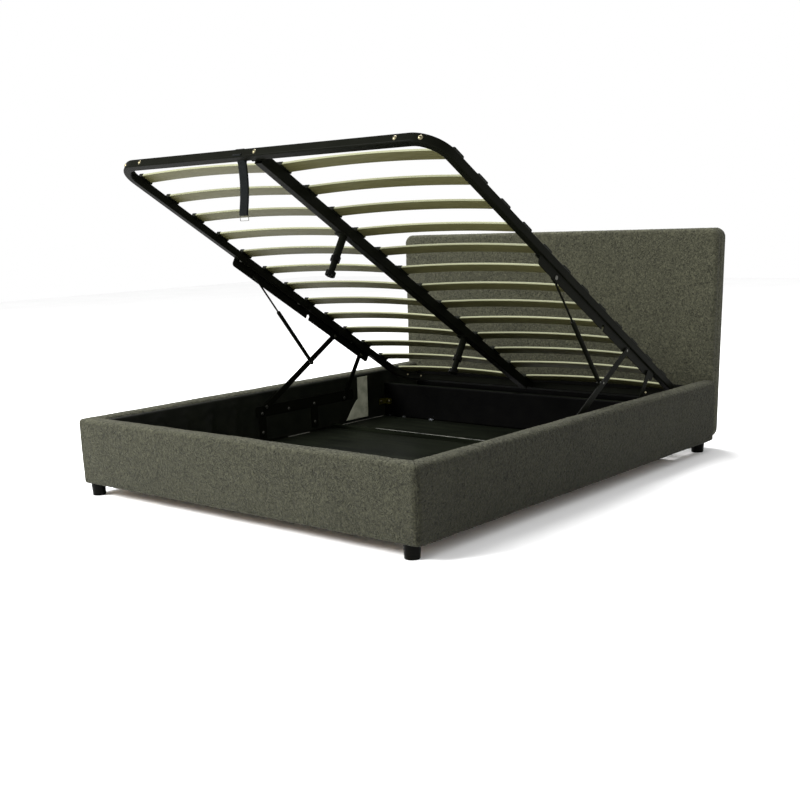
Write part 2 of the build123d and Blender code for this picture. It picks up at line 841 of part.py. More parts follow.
def strut_rod():
    """The strut's rod with its piston inside the tube, and the fitting and stud at its upper end."""
    eye = bar_along_x(
        eye_radius, across_range(strut_axis - eye_width / 2, strut_axis + eye_width / 2), strut_high
    )
    fitting_length = strut_fitting - strut_neck_start
    fitting = Pos(0, 0, strut_length - strut_fitting + fitting_length / 2) * Cylinder(
        strut_fitting_radius, fitting_length
    )
    low = strut_tube_start + strut_tube_length - strut_rod_overlap
    high = strut_length - strut_fitting
    rod = Pos(0, 0, (low + high) / 2) * Cylinder(strut_rod_radius, high - low)
    piston = Pos(0, 0, low + strut_piston / 2) * Cylinder(
        strut_tube_radius - strut_tube_wall - side_play / 2, strut_piston
    )
    body = strut_frame(strut_low) * (fitting + rod + piston)
    reach = across_range(flange_front + side_play / 2, strut_axis + eye_width / 2 + side_play)
    stud = bar_along_x(stud_radius, reach, strut_high)
    cap = bar_along_x(
        stud_collar_radius,
        across_range(strut_axis + eye_width / 2, strut_axis + eye_width / 2 + pin_head_height), strut_high,
    )
    return body + eye + stud + cap


def arm_stud():
    """The stud riveted into the front arm, which carries the strut's lower eye."""
    near, far = strut_axis - eye_width / 2, strut_axis + eye_width / 2
    shank = bar_along_x(stud_radius, across_range(arm_back + pin_play, far + side_play / 2), strut_low)
    collar = bar_along_x(
        stud_collar_radius, across_range(arm_front, arm_front + stud_collar), strut_low
    )
    seat = bar_along_x(
        stud_collar_radius, across_range(near - side_play / 2 - stud_collar, near - side_play / 2), strut_low
    )
    cap_range = across_range(far + side_play / 2, far + side_play / 2 + pin_head_height)
    cap = bar_along_x(stud_collar_radius, cap_range, strut_low)
    return shank + collar + seat + cap


# Slatted platform, drawn flat

def tube_section(size, wall, corner):
    outer = RectangleRounded(size, size, corner)
    if wall:
        inner = size - 2 * wall
        outer -= RectangleRounded(inner, inner, max(corner - wall, wall))
    return outer


def side_tube():
    """The left half of the rim: one tube bent at both corners."""
    x = -tube_axis
    foot = -(platform_length - tube_size / 2)
    head = -tube_size / 2
    end = -platform_half + tube_stub
    corner = tube_bend * math.sin(math.pi / 4)
    inset = tube_bend - corner
    path = Line((end, foot, 0), (x + tube_bend, foot, 0))
    path += ThreePointArc((x + tube_bend, foot, 0), (x + inset, foot + inset, 0), (x, foot + tube_bend, 0))
    path += Line((x, foot + tube_bend, 0), (x, head - tube_bend, 0))
    path += ThreePointArc((x, head - tube_bend, 0), (x + inset, head - inset, 0), (x + tube_bend, head, 0))
    path += Line((x + tube_bend, head, 0), (end, head, 0))
    start = Plane(origin=(end, foot, 0), x_dir=(0, 1, 0), z_dir=(-1, 0, 0))
    tube = sweep(start * tube_section(tube_size, tube_wall, tube_corner), path=path)
    return Pos(0, 0, tube_size / 2) * tube


def cross_tube(y):
    """A straight tube between the bent corners."""
    half = platform_half - tube_stub - rim_seam
    section = Plane.YZ * tube_section(tube_size, tube_wall, tube_corner)
    return Pos(-half, y, tube_size / 2) * extrude(section, 2 * half, dir=(1, 0, 0))


def bend_centre():
    """Centre of the left foot corner's bend."""
    return -tube_axis + tube_bend, -platform_length + tube_size / 2 + tube_bend


def sleeve():
    """A plug inside the left foot corner's joint, half in the cross tube and half in the bend."""
    size = tube_size - 2 * tube_wall - 2 * sleeve_gap
    centre_x, centre_y = bend_centre()
    foot = centre_y - tube_bend
    start = centre_x + sleeve_length / 2
    arc = [turned(0, -tube_bend, -share * sleeve_bend_angle) for share in (0, 1 / 2, 1)]
    arc = [(centre_x + x, centre_y + y, 0) for x, y in arc]
    path = Line((start, foot, 0), arc[0]) + ThreePointArc(*arc)
    section = Plane(origin=(start, foot, 0), x_dir=(0, 1, 0), z_dir=(-1, 0, 0)) * tube_section(
        size, tube_wall, tube_corner - tube_wall
    )
    return Pos(0, 0, tube_size / 2) * sweep(section, path=path)


def all_corners(shape):
    """A shape of the left foot corner, repeated at all four corners of the rim."""
    mid_length = Plane(origin=(0, -platform_length / 2, 0), z_dir=(0, 1, 0))
    left = [shape, shape.mirror(mid_length)]
    return left + mirrored(left)


def rim_bolt_shapes(shape):
    """A bolt or its hole, through the rim's outer faces: two a corner, one at each end of the centre rail."""
    centre_x, centre_y = bend_centre()
    seam = -platform_half + tube_stub
    straight = Pos(seam + rim_bolt_reach, -platform_length, tube_size / 2) * Rot(90, 0, 0)
    bent = Pos(centre_x, centre_y, tube_size / 2) * Rot(0, 0, -rim_bolt_angle)
    bent = bent * Pos(0, -tube_bend - tube_size / 2, 0) * Rot(90, 0, 0)
    middle = Pos(0, -platform_length, tube_size / 2) * Rot(90, 0, 0) * shape
    ends = [middle, Pos(0, 0, tube_size / 2) * Rot(-90, 0, 0) * shape]
    return all_corners(straight * shape) + all_corners(bent * shape) + ends


def centre_rail():
    """The box beam down the middle, with a welded plate at each end."""
    inner = platform_length - 2 * tube_size - 2 * end_plate
    outer_face = RectangleRounded(centre_rail_width, centre_rail_height, tube_corner)
    hollow = RectangleRounded(
        centre_rail_width - 2 * tube_wall, centre_rail_height - 2 * tube_wall, tube_corner - tube_wall
    )
    low = tube_size + end_plate
    section = Plane(origin=(0, -low, (tube_size - centre_rail_drop) / 2), x_dir=(1, 0, 0), z_dir=(0, -1, 0))
    rail = extrude(section * (outer_face - hollow), inner, dir=(0, -1, 0))
    for y in (-tube_size - end_plate / 2, -platform_length + tube_size + end_plate / 2):
        face = RectangleRounded(end_plate_width, tube_size, tube_corner)
        plate = Pos(0, y, tube_size / 2) * Rot(90, 0, 0) * extrude(face, end_plate / 2, both=True)
        rail += plate
    return rail


def slat(side):
    """A bowed slat with rounded edges, its middle at Y zero: side -1 is the left column."""
    middle = (slat_inner_x + slat_outer_x) / 2
    height = slat_bottom + slat_thickness / 2
    path = ThreePointArc((slat_inner_x, 0, height), (middle, 0, height + slat_bow), (slat_outer_x, 0, height))
    across_path = Plane(origin=path @ 0, x_dir=(0, 1, 0), z_dir=path % 0)
    body = sweep(across_path * RectangleRounded(slat_width, slat_thickness, slat_edge), path=path)
    return body if side > 0 else mirrored(body)


def slat_pocket(x_range, y_width):
    """Room for a slat's end inside a holder."""
    low = slat_bottom - holder_slack
    high = low + slat_thickness + slat_end_rise + 2 * holder_slack
    return block(x_range, (-y_width / 2, y_width / 2), (low, high))


def holder_body(x_range):
    """The rounded block of a slat holder, on the tube's top face."""
    body = block(x_range, (-holder_width / 2, holder_width / 2), (tube_size, tube_size + holder_height))
    upright = body.edges().filter_by(Axis.Z)
    return chamfer(fillet(upright, holder_round).faces().sort_by(Axis.Z)[-1].edges(), holder_round / 2)


def side_holder():
    """A holder at the left tube, closed at its outer end and open towards the middle of the bed."""
    x_range = (-platform_half, -platform_half + holder_length)
    pocket = slat_pocket(
        (x_range[0] + holder_wall, x_range[1] + cut_overrun), slat_width + 2 * holder_slack
    )
    return holder_body(x_range) - pocket


def centre_holder():
    """A double holder on the centre rail, with a web between its two pockets."""
    half = centre_holder_length / 2
    body = holder_body((-half, half))
    for side in (-1, 1):
        edges = sorted((side * centre_holder_web / 2, side * (half + cut_overrun)))
        body -= slat_pocket(edges, slat_width + 2 * holder_slack)
    return body


def leg_parts(s):
    """A centre leg: its plate and outer tube, its collar, and the inner tube with its cap."""
    top = -centre_rail_drop
    bottom = top - leg_length
    split = top - leg_length * leg_split_share
    plate = block(
        (-leg_plate_width / 2, leg_plate_width / 2),
        (-s - leg_plate_width / 2, -s + leg_plate_width / 2), (top - leg_plate_sheet, top),
    )
    plate = fillet(plate.edges().filter_by(Axis.Z), leg_plate_sheet * 2)
    tube_top = top - leg_plate_sheet
    outer = Pos(0, -s, (tube_top + split) / 2) * Cylinder(leg_radius, tube_top - split)
    room = tube_top - split - leg_radius
    outer -= Pos(0, -s, split + room / 2) * Cylinder(leg_radius - leg_wall, room)
    collar = Pos(0, -s, split) * Cylinder(leg_collar_radius, leg_collar_height)
    collar = fillet(collar.edges().filter_by(GeomType.CIRCLE), leg_wall)
    slack = leg_slack
    collar -= Pos(0, -s, split + leg_collar_height / 2) * Cylinder(leg_radius + slack, leg_collar_height)
    collar -= Pos(0, -s, split) * Cylinder(leg_inner_radius + slack, 2 * leg_collar_height)
    cap_top = bottom + leg_cap_height
    inner_top = split + room / 2
    inner_low = bottom + leg_cap_height / 2
    inner = Pos(0, -s, (inner_top + inner_low) / 2) * Cylinder(leg_inner_radius, inner_top - inner_low)
    cap = Pos(0, -s, (bottom + cap_top) / 2) * Cylinder(leg_cap_radius, leg_cap_height)
    cap = fillet(cap.edges().filter_by(GeomType.CIRCLE), leg_wall)
    cap -= Pos(0, -s, cap_top - leg_cap_height / 4) * Cylinder(leg_inner_radius + slack, leg_cap_height / 2)
    return plate + outer, collar, inner, cap


def pull_strap():
    """Webbing round the foot tube, its two ends sewn together and hanging straight down."""
    outer = tube_size + 2 * strap_thickness
    loop_outer = RectangleRounded(outer, outer, tube_corner + strap_thickness)
    loop_inner = RectangleRounded(tube_size, tube_size, tube_corner)
    middle = (-platform_length + tube_size / 2, tube_size / 2)
    loop = plate_in_yz(Pos(*middle) * (loop_outer - loop_inner), (-strap_width / 2, strap_width / 2))
    loop = platform_place() * Pos(strap_x, 0, 0) * loop
    corner_y, corner_z = open_point(platform_length - tube_size + tube_corner, tube_corner)
    top = corner_z - tube_corner
    hang = block(
        (strap_x - strap_width / 2, strap_x + strap_width / 2),
        (corner_y - strap_thickness, corner_y + strap_thickness), (top - strap_drop, top),
    )
    return loop + hang, (corner_y, top - strap_drop - strap_ring_height / 2)


def strap_ring(place):
    """A flat wire ring sewn into the strap's lower end."""
    width = strap_width + 2 * strap_ring_wire
    frame = RectangleRounded(width, strap_ring_height, 2 * strap_ring_wire)
    frame -= RectangleRounded(
        width - 2 * strap_ring_wire, strap_ring_height - 2 * strap_ring_wire, strap_ring_wire
    )
    ring = extrude(Plane.XZ * frame, strap_ring_wire / 2, both=True)
    return Pos(strap_x, place[0], place[1]) * ring


def build_base():
    brackets, corner_bolts, corner_holes = corner_sets()
    plate_bolts, plate_holes = [], []
    length = plate_sheet + lining_thickness + bolt_bite
    for y, z in base_plate_bolt_places():
        place = side_bolt_place(y, z, plate_front)
        for shape, target in ((bolt(length), plate_bolts), (bolt_hole(length + bolt_play), plate_holes)):
            target.append(place * shape)
            target.append((place * shape).mirror(Plane.YZ))

    side_cover, side_board = side_panel_parts()
    foot_cover, foot_board = foot_panel_parts()
    left_side = [hole for hole in corner_holes + plate_holes if hole.center().X < 0]
    side_board -= left_side
    foot_board -= corner_holes
    both_sides("side_rail_cover", side_cover)
    both_sides("side_rail_board", side_board)
    export_node("foot_panel_cover", foot_cover)
    export_node("foot_panel_board", foot_board)

    headboard_cover, headboard_board = headboard_parts()
    export_node("headboard_cover", headboard_cover)
    export_node("headboard_board", headboard_board)

    left_lining, foot_lining, head_lining = lining_parts()
    both_sides("lining_side", left_lining - left_side)
    export_node("lining_foot", foot_lining - corner_holes)
    export_node("lining_head", [head_lining[0] - corner_holes, head_lining[1]])

    foot_floor, head_floor, divider, ledges, beams, head_rail = floor_parts()
    export_node("floor_panel_foot", foot_floor)
    export_node("floor_panel_head", head_floor)
    export_node("floor_divider", divider)
    export_node("floor_ledges", ledges)
    export_node("floor_beams", beams)
    export_node("head_rail", head_rail - corner_holes)

    foot = glide_foot()
    export_node("corner_feet", [Pos(x, y, 0) * foot for x, y in foot_places()])
    export_node("centre_feet", [Pos(0, closed_point(s, 0)[0], 0) * foot for s in (leg_1_s, leg_2_s)])
    export_node("corner_brackets", brackets)
    export_node("corner_bracket_bolts", corner_bolts)
    both_sides("lift_base_plate", base_plate())
    export_node("lift_base_plate_bolts", plate_bolts)
    pins = [pivot_pin(place, plate_back, arm_front) for place in (arm_pivot, link_pivot)]
    export_node("base_pivot_pins", pins + mirrored(pins))
    export_node("cloth_patch", cloth_patch())
    export_node("wall_clips", wall_clips())


def build_linkage():
    both_sides("front_arm", front_arm())
    both_sides("front_arm_stud", arm_stud())
    both_sides("rear_link", rear_link())
    both_sides("strut_cylinder", strut_cylinder())
    both_sides("strut_rod", strut_rod())


def build_platform():
    length = tube_size + end_plate
    rim_holes = rim_bolt_shapes(bolt_hole(length + bolt_play))
    rail_bolt_length = plate_sheet + tube_wall + bolt_radius
    rail_places = upper_rail_bolt_places()
    rail_holes = [place * bolt_hole(rail_bolt_length) for place in rail_places]

    both_sides("rim_tube", raised(side_tube() - rim_holes - rail_holes))
    foot_y = -platform_length + tube_size / 2
    head_y = -tube_size / 2
    export_node("rim_foot_tube", raised(cross_tube(foot_y) - rim_holes))
    export_node("rim_head_tube", raised(cross_tube(head_y) - rim_holes))
    export_node("rim_sleeves", raised(all_corners(sleeve() - rim_holes)))
    export_node("rim_bolts", raised(rim_bolt_shapes(bolt(length))))
    export_node("centre_rail", raised(centre_rail() - rim_holes))

    both_sides("upper_rail", raised(upper_rail()))
    rail_bolts = [place * bolt(rail_bolt_length) for place in rail_places]
    export_node("upper_rail_bolts", raised(rail_bolts + mirrored(rail_bolts)))
    export_node("platform_pivot_pins", raised(platform_pins() + mirrored(platform_pins())))

    left_slat, right_slat = slat(-1), slat(1)
    export_node("slats_left", raised([Pos(0, -s, 0) * left_slat for s in slat_places]))
    export_node("slats_right", raised([Pos(0, -s, 0) * right_slat for s in slat_places]))
    holder = side_holder()
    both_sides("slat_holders", raised([Pos(0, -s, 0) * holder for s in slat_places]))
    double = centre_holder()
    export_node("centre_slat_holders", raised([Pos(0, -s, 0) * double for s in slat_places]))

    legs = [leg_parts(s) for s in (leg_1_s, leg_2_s)]
    for index, name in enumerate(("leg_tubes", "leg_collars", "leg_inner_tubes", "leg_caps")):
        export_node(name, raised([leg[index] for leg in legs]))

    strap, ring_place = pull_strap()
    export_node("pull_strap", strap)
    export_node("strap_ring", strap_ring(ring_place))


def report_linkage():
    """Print what the record needs: pivots in the bed's own frame and angles of travel."""
    shift = total_length / 2
    for name, place in (
        ("arm pivot", arm_pivot), ("link pivot", link_pivot), ("arm pin", arm_pin_open),
        ("link pin", link_pin_open), ("strut low", strut_low), ("strut high", strut_high),
    ):
        print(f"{name}: y {place[0] - shift:.3f} z {place[1]:.3f}")
    print(f"arm {arm_length:.3f} from {arm_angle:.4f} to {arm_angle_closed:.4f} deg")
    print(f"link {link_length:.3f} from {link_angle:.4f} to {link_angle_closed:.4f} deg")
    print(f"strut {strut_length:.3f} to {strut_length_closed:.3f}")
    print(f"strut from {strut_angle:.4f} to {strut_angle_closed:.4f} deg")


os.makedirs("parts", exist_ok=True)
report_linkage()
build_base()
build_linkage()
build_platform()
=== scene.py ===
import json
import math
import bmesh
import bpy
import numpy as np
from mathutils import Matrix, Vector


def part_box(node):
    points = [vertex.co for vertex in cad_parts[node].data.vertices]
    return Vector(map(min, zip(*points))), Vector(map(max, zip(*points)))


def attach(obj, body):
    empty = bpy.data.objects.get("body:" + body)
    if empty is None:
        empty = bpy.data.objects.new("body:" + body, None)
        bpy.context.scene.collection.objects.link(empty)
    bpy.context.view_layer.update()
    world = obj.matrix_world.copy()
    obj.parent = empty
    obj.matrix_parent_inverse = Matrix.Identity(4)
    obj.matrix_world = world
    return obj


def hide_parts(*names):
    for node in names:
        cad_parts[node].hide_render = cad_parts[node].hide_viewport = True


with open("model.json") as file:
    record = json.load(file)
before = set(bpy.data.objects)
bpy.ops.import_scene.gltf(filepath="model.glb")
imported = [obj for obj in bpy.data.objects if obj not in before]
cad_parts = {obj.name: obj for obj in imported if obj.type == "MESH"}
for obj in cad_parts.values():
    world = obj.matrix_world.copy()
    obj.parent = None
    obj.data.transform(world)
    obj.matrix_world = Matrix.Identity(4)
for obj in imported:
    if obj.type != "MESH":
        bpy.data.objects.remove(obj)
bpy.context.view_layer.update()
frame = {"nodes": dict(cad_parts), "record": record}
print("frame loaded")

# The bed's own places, in metres, as the CAD has them
bed = {
    "halfWidth": 0.875,
    "footY": -1.0815,
    "headY": 1.0035,
    "backY": 1.0815,
    "railThickness": 0.075,
    "underside": 0.050,
    "boardTop": 0.288,
    "boardThickness": 0.025,
    "crown": 0.314,
    "floorTop": 0.068,
    "liftAngle": math.radians(31.1),
    "headPivotY": 0.8515,
    "headPivotZ": 0.2385,
    "platformLength": 1.995,
    "platformHalf": 0.795,
    "tube": 0.032,
}


def onPlatform(x, s, n):
    # A point of the raised platform: s from its head end, n above the underside of its tubes.
    c, k = math.cos(bed["liftAngle"]), math.sin(bed["liftAngle"])
    return (x, bed["headPivotY"] - s * c + n * k, bed["headPivotZ"] + s * k + n * c)


def addObject(name, data):
    made = bpy.data.objects.new(name, data)
    bpy.context.collection.objects.link(made)
    return made


# Camera, lights and floor
cameraView = {
    "place": (3.0355, -3.7317, 1.0285),
    "yaw": 41.087,
    "down": 15.489,
    "roll": 2.018,
    "focal": 1143.39,
    "centre": (381.144, 539.909),
    "frame": 800,
    "sensor": 36,
    "farthest": 60,
}


def placeCamera():
    yaw, down, roll = (math.radians(cameraView[k]) for k in ("yaw", "down", "roll"))
    forward = Vector((-math.sin(yaw) * math.cos(down), math.cos(yaw) * math.cos(down), -math.sin(down)))
    right = Vector((math.cos(yaw), math.sin(yaw), 0))
    below = forward.cross(right)
    turnedRight = math.cos(roll) * right + math.sin(roll) * below
    turnedBelow = -math.sin(roll) * right + math.cos(roll) * below
    axes = Matrix((turnedRight, -turnedBelow, -forward)).transposed().to_4x4()
    lens = bpy.data.cameras.new("camera")
    lens.sensor_width = cameraView["sensor"]
    lens.lens = cameraView["focal"] / cameraView["frame"] * lens.sensor_width
    lens.shift_x = 0.5 - cameraView["centre"][0] / cameraView["frame"]
    lens.shift_y = cameraView["centre"][1] / cameraView["frame"] - 0.5
    lens.clip_end = cameraView["farthest"]
    camera = addObject("camera", lens)
    camera.matrix_world = Matrix.Translation(cameraView["place"]) @ axes
    bpy.context.scene.camera = camera


lighting = {
    "worldColour": (1.0, 1.0, 1.0),
    "worldStrength": 1.0,
    "lamps": [
        # name, place, aim, size, watts
        ("keyLamp", (-3.6, -6.2, 4.6), (0, -0.2, 0.3), 3.2, 1150),
        ("topLamp", (-1.5, 1.5, 5.5), (0, 0.2, 0.3), 3.0, 420),
    ],
    "floorHalf": 14,
}


def placeLights():
    bpy.context.scene.view_settings.view_transform = "Standard"  # plain studio white stays white
    world = bpy.data.worlds.new("studio")
    world.use_nodes = True
    background = world.node_tree.nodes["Background"]
    background.inputs["Color"].default_value = (*lighting["worldColour"], 1)
    background.inputs["Strength"].default_value = lighting["worldStrength"]
    bpy.context.scene.world = world
    for name, place, aim, size, watts in lighting["lamps"]:
        light = bpy.data.lights.new(name, "AREA")
        light.shape = "DISK"
        light.size = size
        light.energy = watts
        lamp = addObject(name, light)
        lamp.location = place
        lamp.rotation_euler = (Vector(aim) - Vector(place)).to_track_quat("-Z", "Y").to_euler()


def placeFloor():
    half = lighting["floorHalf"]
    corners = [(-half, -half, 0), (half, -half, 0), (half, half, 0), (-half, half, 0)]
    floor = makeObject("studioFloor", corners, [(0, 1, 2, 3)], floorPaint(), smooth=False)


# Building blocks of materials and Geometry Nodes trees
def join(tree, value, socket):
    # Sets an input, or links it to an output; a node stands for its first output in use.
    if isinstance(value, bpy.types.Node):
        value = next(s for s in value.outputs if s.enabled)
    if isinstance(value, bpy.types.NodeSocket):
        tree.links.new(value, socket)
    elif socket.type == "RGBA":
        socket.default_value = (*value, 1)
    else:
        socket.default_value = value


def feed(tree, node, **values):
    # Gives a node its inputs, their names written without spaces.
    for key, value in values.items():
        socket = next(s for s in node.inputs if s.enabled and s.name.replace(" ", "") == key)
        join(tree, value, socket)
    return node


def addNode(tree, kind, **values):
    # A new node: keys in small letters are its settings, and keys with capitals its inputs.
    made = tree.nodes.new(kind)
    for key, value in values.items():
        if key.islower():
            setattr(made, key, value)
        else:
            feed(tree, made, **{key: value})
    return made


def maths(tree, operation, first, second=0.0):
    made = addNode(tree, "ShaderNodeMath", operation=operation)
    for value, socket in zip((first, second), made.inputs):
        join(tree, value, socket)
    return made


def startMaterial(name):
    material = bpy.data.materials.new(name)
    material.use_nodes = True
    return material, material.node_tree


def finishMaterial(material, **values):
    # Gives the material's shader its inputs.
    feed(material.node_tree, material.node_tree.nodes["Principled BSDF"], **values)
    return material


def stretched(tree, point, scale=(1, 1, 1), turn=(0, 0, 0)):
    return addNode(tree, "ShaderNodeMapping", Vector=point, Scale=scale, Rotation=turn)


def objectPoint(tree, scale=(1, 1, 1), turn=(0, 0, 0)):
    # Object coordinates, stretched and turned.
    return stretched(tree, addNode(tree, "ShaderNodeTexCoord").outputs["Object"], scale, turn)


def attributeOf(tree, name, output="Fac"):
    return addNode(tree, "ShaderNodeAttribute", attribute_name=name).outputs[output]


def noiseOf(tree, point, scale, detail=3.0, roughness=0.55, distortion=0.0):
    return addNode(
        tree, "ShaderNodeTexNoise", Vector=point, Scale=scale, Detail=detail, Roughness=roughness,
        Distortion=distortion,
    ).outputs["Fac"]


def cellsOf(tree, point, scale, kind="F1", **values):
    return addNode(tree, "ShaderNodeTexVoronoi", feature=kind, Vector=point, Scale=scale, **values)


def bandsOf(tree, point, way, scale, **values):
    made = addNode(tree, "ShaderNodeTexWave", bands_direction=way, Vector=point, Scale=scale, **values)
    return made.outputs["Fac"]


def rampOf(tree, value, *stops):
    # A colour ramp from (place, colour) stops.
    made = addNode(tree, "ShaderNodeValToRGB", Fac=value)
    ramp = made.color_ramp
    while len(ramp.elements) < len(stops):
        ramp.elements.new(0.5)
    for element, (place, colour) in zip(ramp.elements, stops):
        element.position = place
        element.color = (*colour, 1)
    return made


def between(tree, value, low, high):
    # Spreads a share over the stretch from low to high.
    return addNode(tree, "ShaderNodeMapRange", Value=value, ToMin=low, ToMax=high)


def mixed(tree, share, first, second, blend="MIX"):
    return addNode(tree, "ShaderNodeMix", data_type="RGBA", blend_type=blend, Factor=share, A=first, B=second)


def multiplied(tree, colour, *others):
    for other in others:
        colour = mixed(tree, 1.0, colour, other, "MULTIPLY")
    return colour


def bumpOf(tree, height, distance, under=None):
    made = addNode(tree, "ShaderNodeBump", Strength=1.0, Distance=distance, Height=height)
    return made if under is None else feed(tree, made, Normal=under)


def srgb(*levels):
    # Screen levels of 0 to 255 as linear colour.
    return tuple(((v / 255 + 0.055) / 1.055) ** 2.4 if v > 10 else v / 255 / 12.92 for v in levels)


def grey(level):
    return (level,) * 3


def floorPaint():
    material, tree = startMaterial("palePaper")
    clouds = noiseOf(tree, objectPoint(tree), scale=1.5)
    tone = rampOf(tree, clouds, (0.3, grey(0.90)), (0.7, grey(0.93)))
    return finishMaterial(material, BaseColor=tone, Roughness=0.9)


teddyLook = {
    "deep": srgb(45, 45, 36),
    "mid": srgb(56, 56, 45),
    "light": srgb(67, 67, 55),
    "curlScale": 122.0,
    "curlRound": 0.6,
    "curlBump": 0.0026,
    "warpScale": 58,
    "warp": 0.022,
    "fibreScale": 560.0,
    "fibreBump": 0.0008,
    "patchScale": 4.5,
    "creaseScale": 43.0,
    "creaseShade": 0.42,
    "creaseShoulder": 1.14,
    "creaseWidth": 0.05,
    "creaseBump": 0.003,
    "lay": {"foot": 1.0, "side": 0.66, "head": 1.3},  # painted light and shade: how much paler or darker each copy of the cloth is, for how light falls on its side
    "crown": {"foot": 1.5, "side": 2.1, "head": 1.15},  # painted light: how much paler the cloth is where it faces up, towards the lamps
}


def teddyCloth(part):
    # Curly looped pile: dark between the curls and paler on their tips, painted shade and painted light of
    # its relief.
    look, lay = teddyLook, teddyLook["lay"][part]
    material, tree = startMaterial("teddyCloth" + part.title())
    point = objectPoint(tree)
    warp = addNode(tree, "ShaderNodeTexNoise", Vector=point, Scale=look["warpScale"]).outputs["Color"]
    shifted = addNode(tree, "ShaderNodeVectorMath", operation="MULTIPLY_ADD")
    for value, socket in zip((warp, grey(look["warp"]), point), shifted.inputs):
        join(tree, value, socket)
    curls = cellsOf(tree, shifted, look["curlScale"], "SMOOTH_F1", Smoothness=look["curlRound"])
    fibres = noiseOf(tree, shifted, look["fibreScale"], detail=4.0, roughness=0.6, distortion=1.2)
    patches = noiseOf(tree, point, look["patchScale"])
    folds = noiseOf(tree, point, look["creaseScale"], detail=0.6, roughness=0.5, distortion=2.6)
    offMiddle = maths(tree, "ABSOLUTE", maths(tree, "SUBTRACT", folds, 0.5))
    wide, shoulderHighlight = look["creaseWidth"], look["creaseShoulder"]
    # painted shade darkens the colour along the creases and a painted highlight pales their shoulders; the
    # same ramp also gives the bump
    creases = rampOf(
        tree, offMiddle, (0.0, grey(look["creaseShade"])), (wide, grey(1.0)), (1.8 * wide, grey(shoulderHighlight)),
        (0.2, grey(1.0)),
    )
    normal = addNode(tree, "ShaderNodeNewGeometry").outputs["Normal"]
    upwards = addNode(tree, "ShaderNodeSeparateXYZ", Vector=normal).outputs["Z"]
    colour = multiplied(
        tree,
        # painted shade between the curls, painted light on their tips
        rampOf(tree, curls, (0.0, look["light"]), (0.38, look["mid"]), (0.8, look["deep"])),
        # the fibres' tone carries each copy's painted light and shade
        rampOf(tree, fibres, (0.32, grey(0.84 * lay)), (0.7, grey(1.1 * lay))),
        rampOf(tree, patches, (0.3, (0.95, 0.95, 0.96)), (0.7, (1.05, 1.05, 1.04))),
        creases,
        # painted light: paler where the surface faces up
        rampOf(tree, upwards, (0.25, grey(1.0)), (0.95, grey(look["crown"][part]))),
    )
    curled = bumpOf(tree, maths(tree, "SUBTRACT", 1.0, curls), look["curlBump"])
    creased = bumpOf(tree, creases, look["creaseBump"], curled)
    return finishMaterial(
        material, BaseColor=colour, Normal=bumpOf(tree, fibres, look["fibreBump"], creased),
        Roughness=0.95, SpecularIORLevel=0.05, SheenWeight=0.05, SheenRoughness=0.5,
    )


def nonWoven(name, dark, pale, gloss, roughness):
    # Thin pressed-fibre cloth with its dimpled weld pattern.
    material, tree = startMaterial(name)
    point = objectPoint(tree)
    fibres = noiseOf(tree, point, scale=900, roughness=0.6, distortion=0.4)
    clouds = noiseOf(tree, point, scale=14, detail=4.0)
    dimpled = bumpOf(tree, cellsOf(tree, point, scale=420, Randomness=0.25), distance=0.0004)
    grain = rampOf(tree, fibres, (0.3, grey(0.8)), (0.7, grey(1.15)))
    return finishMaterial(
        material, BaseColor=multiplied(tree, rampOf(tree, clouds, (0.3, dark), (0.75, pale)), grain),
        Roughness=between(tree, clouds, roughness - 0.08, roughness + 0.1), SpecularIORLevel=gloss,
        Normal=bumpOf(tree, fibres, distance=0.0003, under=dimpled),
    )


def facedBoard(name, dark, pale, gloss):
    # Dark faced board of the box floor: smooth, with faint dust and rub marks.
    material, tree = startMaterial(name)
    clouds = noiseOf(tree, objectPoint(tree), scale=3.2, detail=5.0, roughness=0.6)
    streaks = objectPoint(tree, (2.5, 42, 42), turn=(0, 0, 0.06))
    streakNoise = noiseOf(tree, streaks, scale=1.0, detail=4.0, roughness=0.6)
    grain = noiseOf(tree, objectPoint(tree, (40, 900, 900)), scale=1.0, detail=2.0)
    dust = rampOf(tree, streakNoise, (0.38, grey(0.7)), (0.68, (2.1, 2.1, 2.0)))
    return finishMaterial(
        material, BaseColor=multiplied(tree, rampOf(tree, clouds, (0.35, dark), (0.75, pale)), dust),
        Roughness=between(tree, clouds, 0.34, 0.48), SpecularIORLevel=gloss,
        Normal=bumpOf(tree, grain, distance=0.0001),
    )


def edgeHighlightPaint(dark, pale):
    # Pale paint for thin lines along board edges: painted highlights.
    material, tree = startMaterial("rubbedEdge")
    streakNoise = noiseOf(tree, objectPoint(tree, (9, 60, 60)), scale=2.0, detail=4.0, roughness=0.7)
    return finishMaterial(material, BaseColor=rampOf(tree, streakNoise, (0.36, dark), (0.62, pale)), Roughness=0.55)


birchLook = {
    "deep": srgb(130, 126, 92),
    "mid": srgb(150, 147, 112),
    "pale": srgb(168, 165, 131),
    # painted shade: how much darker a slat is on its underside
    "underside": (0.25, 0.25, 0.185),
    "plyDark": srgb(114, 115, 90),
    "plyPale": srgb(138, 140, 114),
}


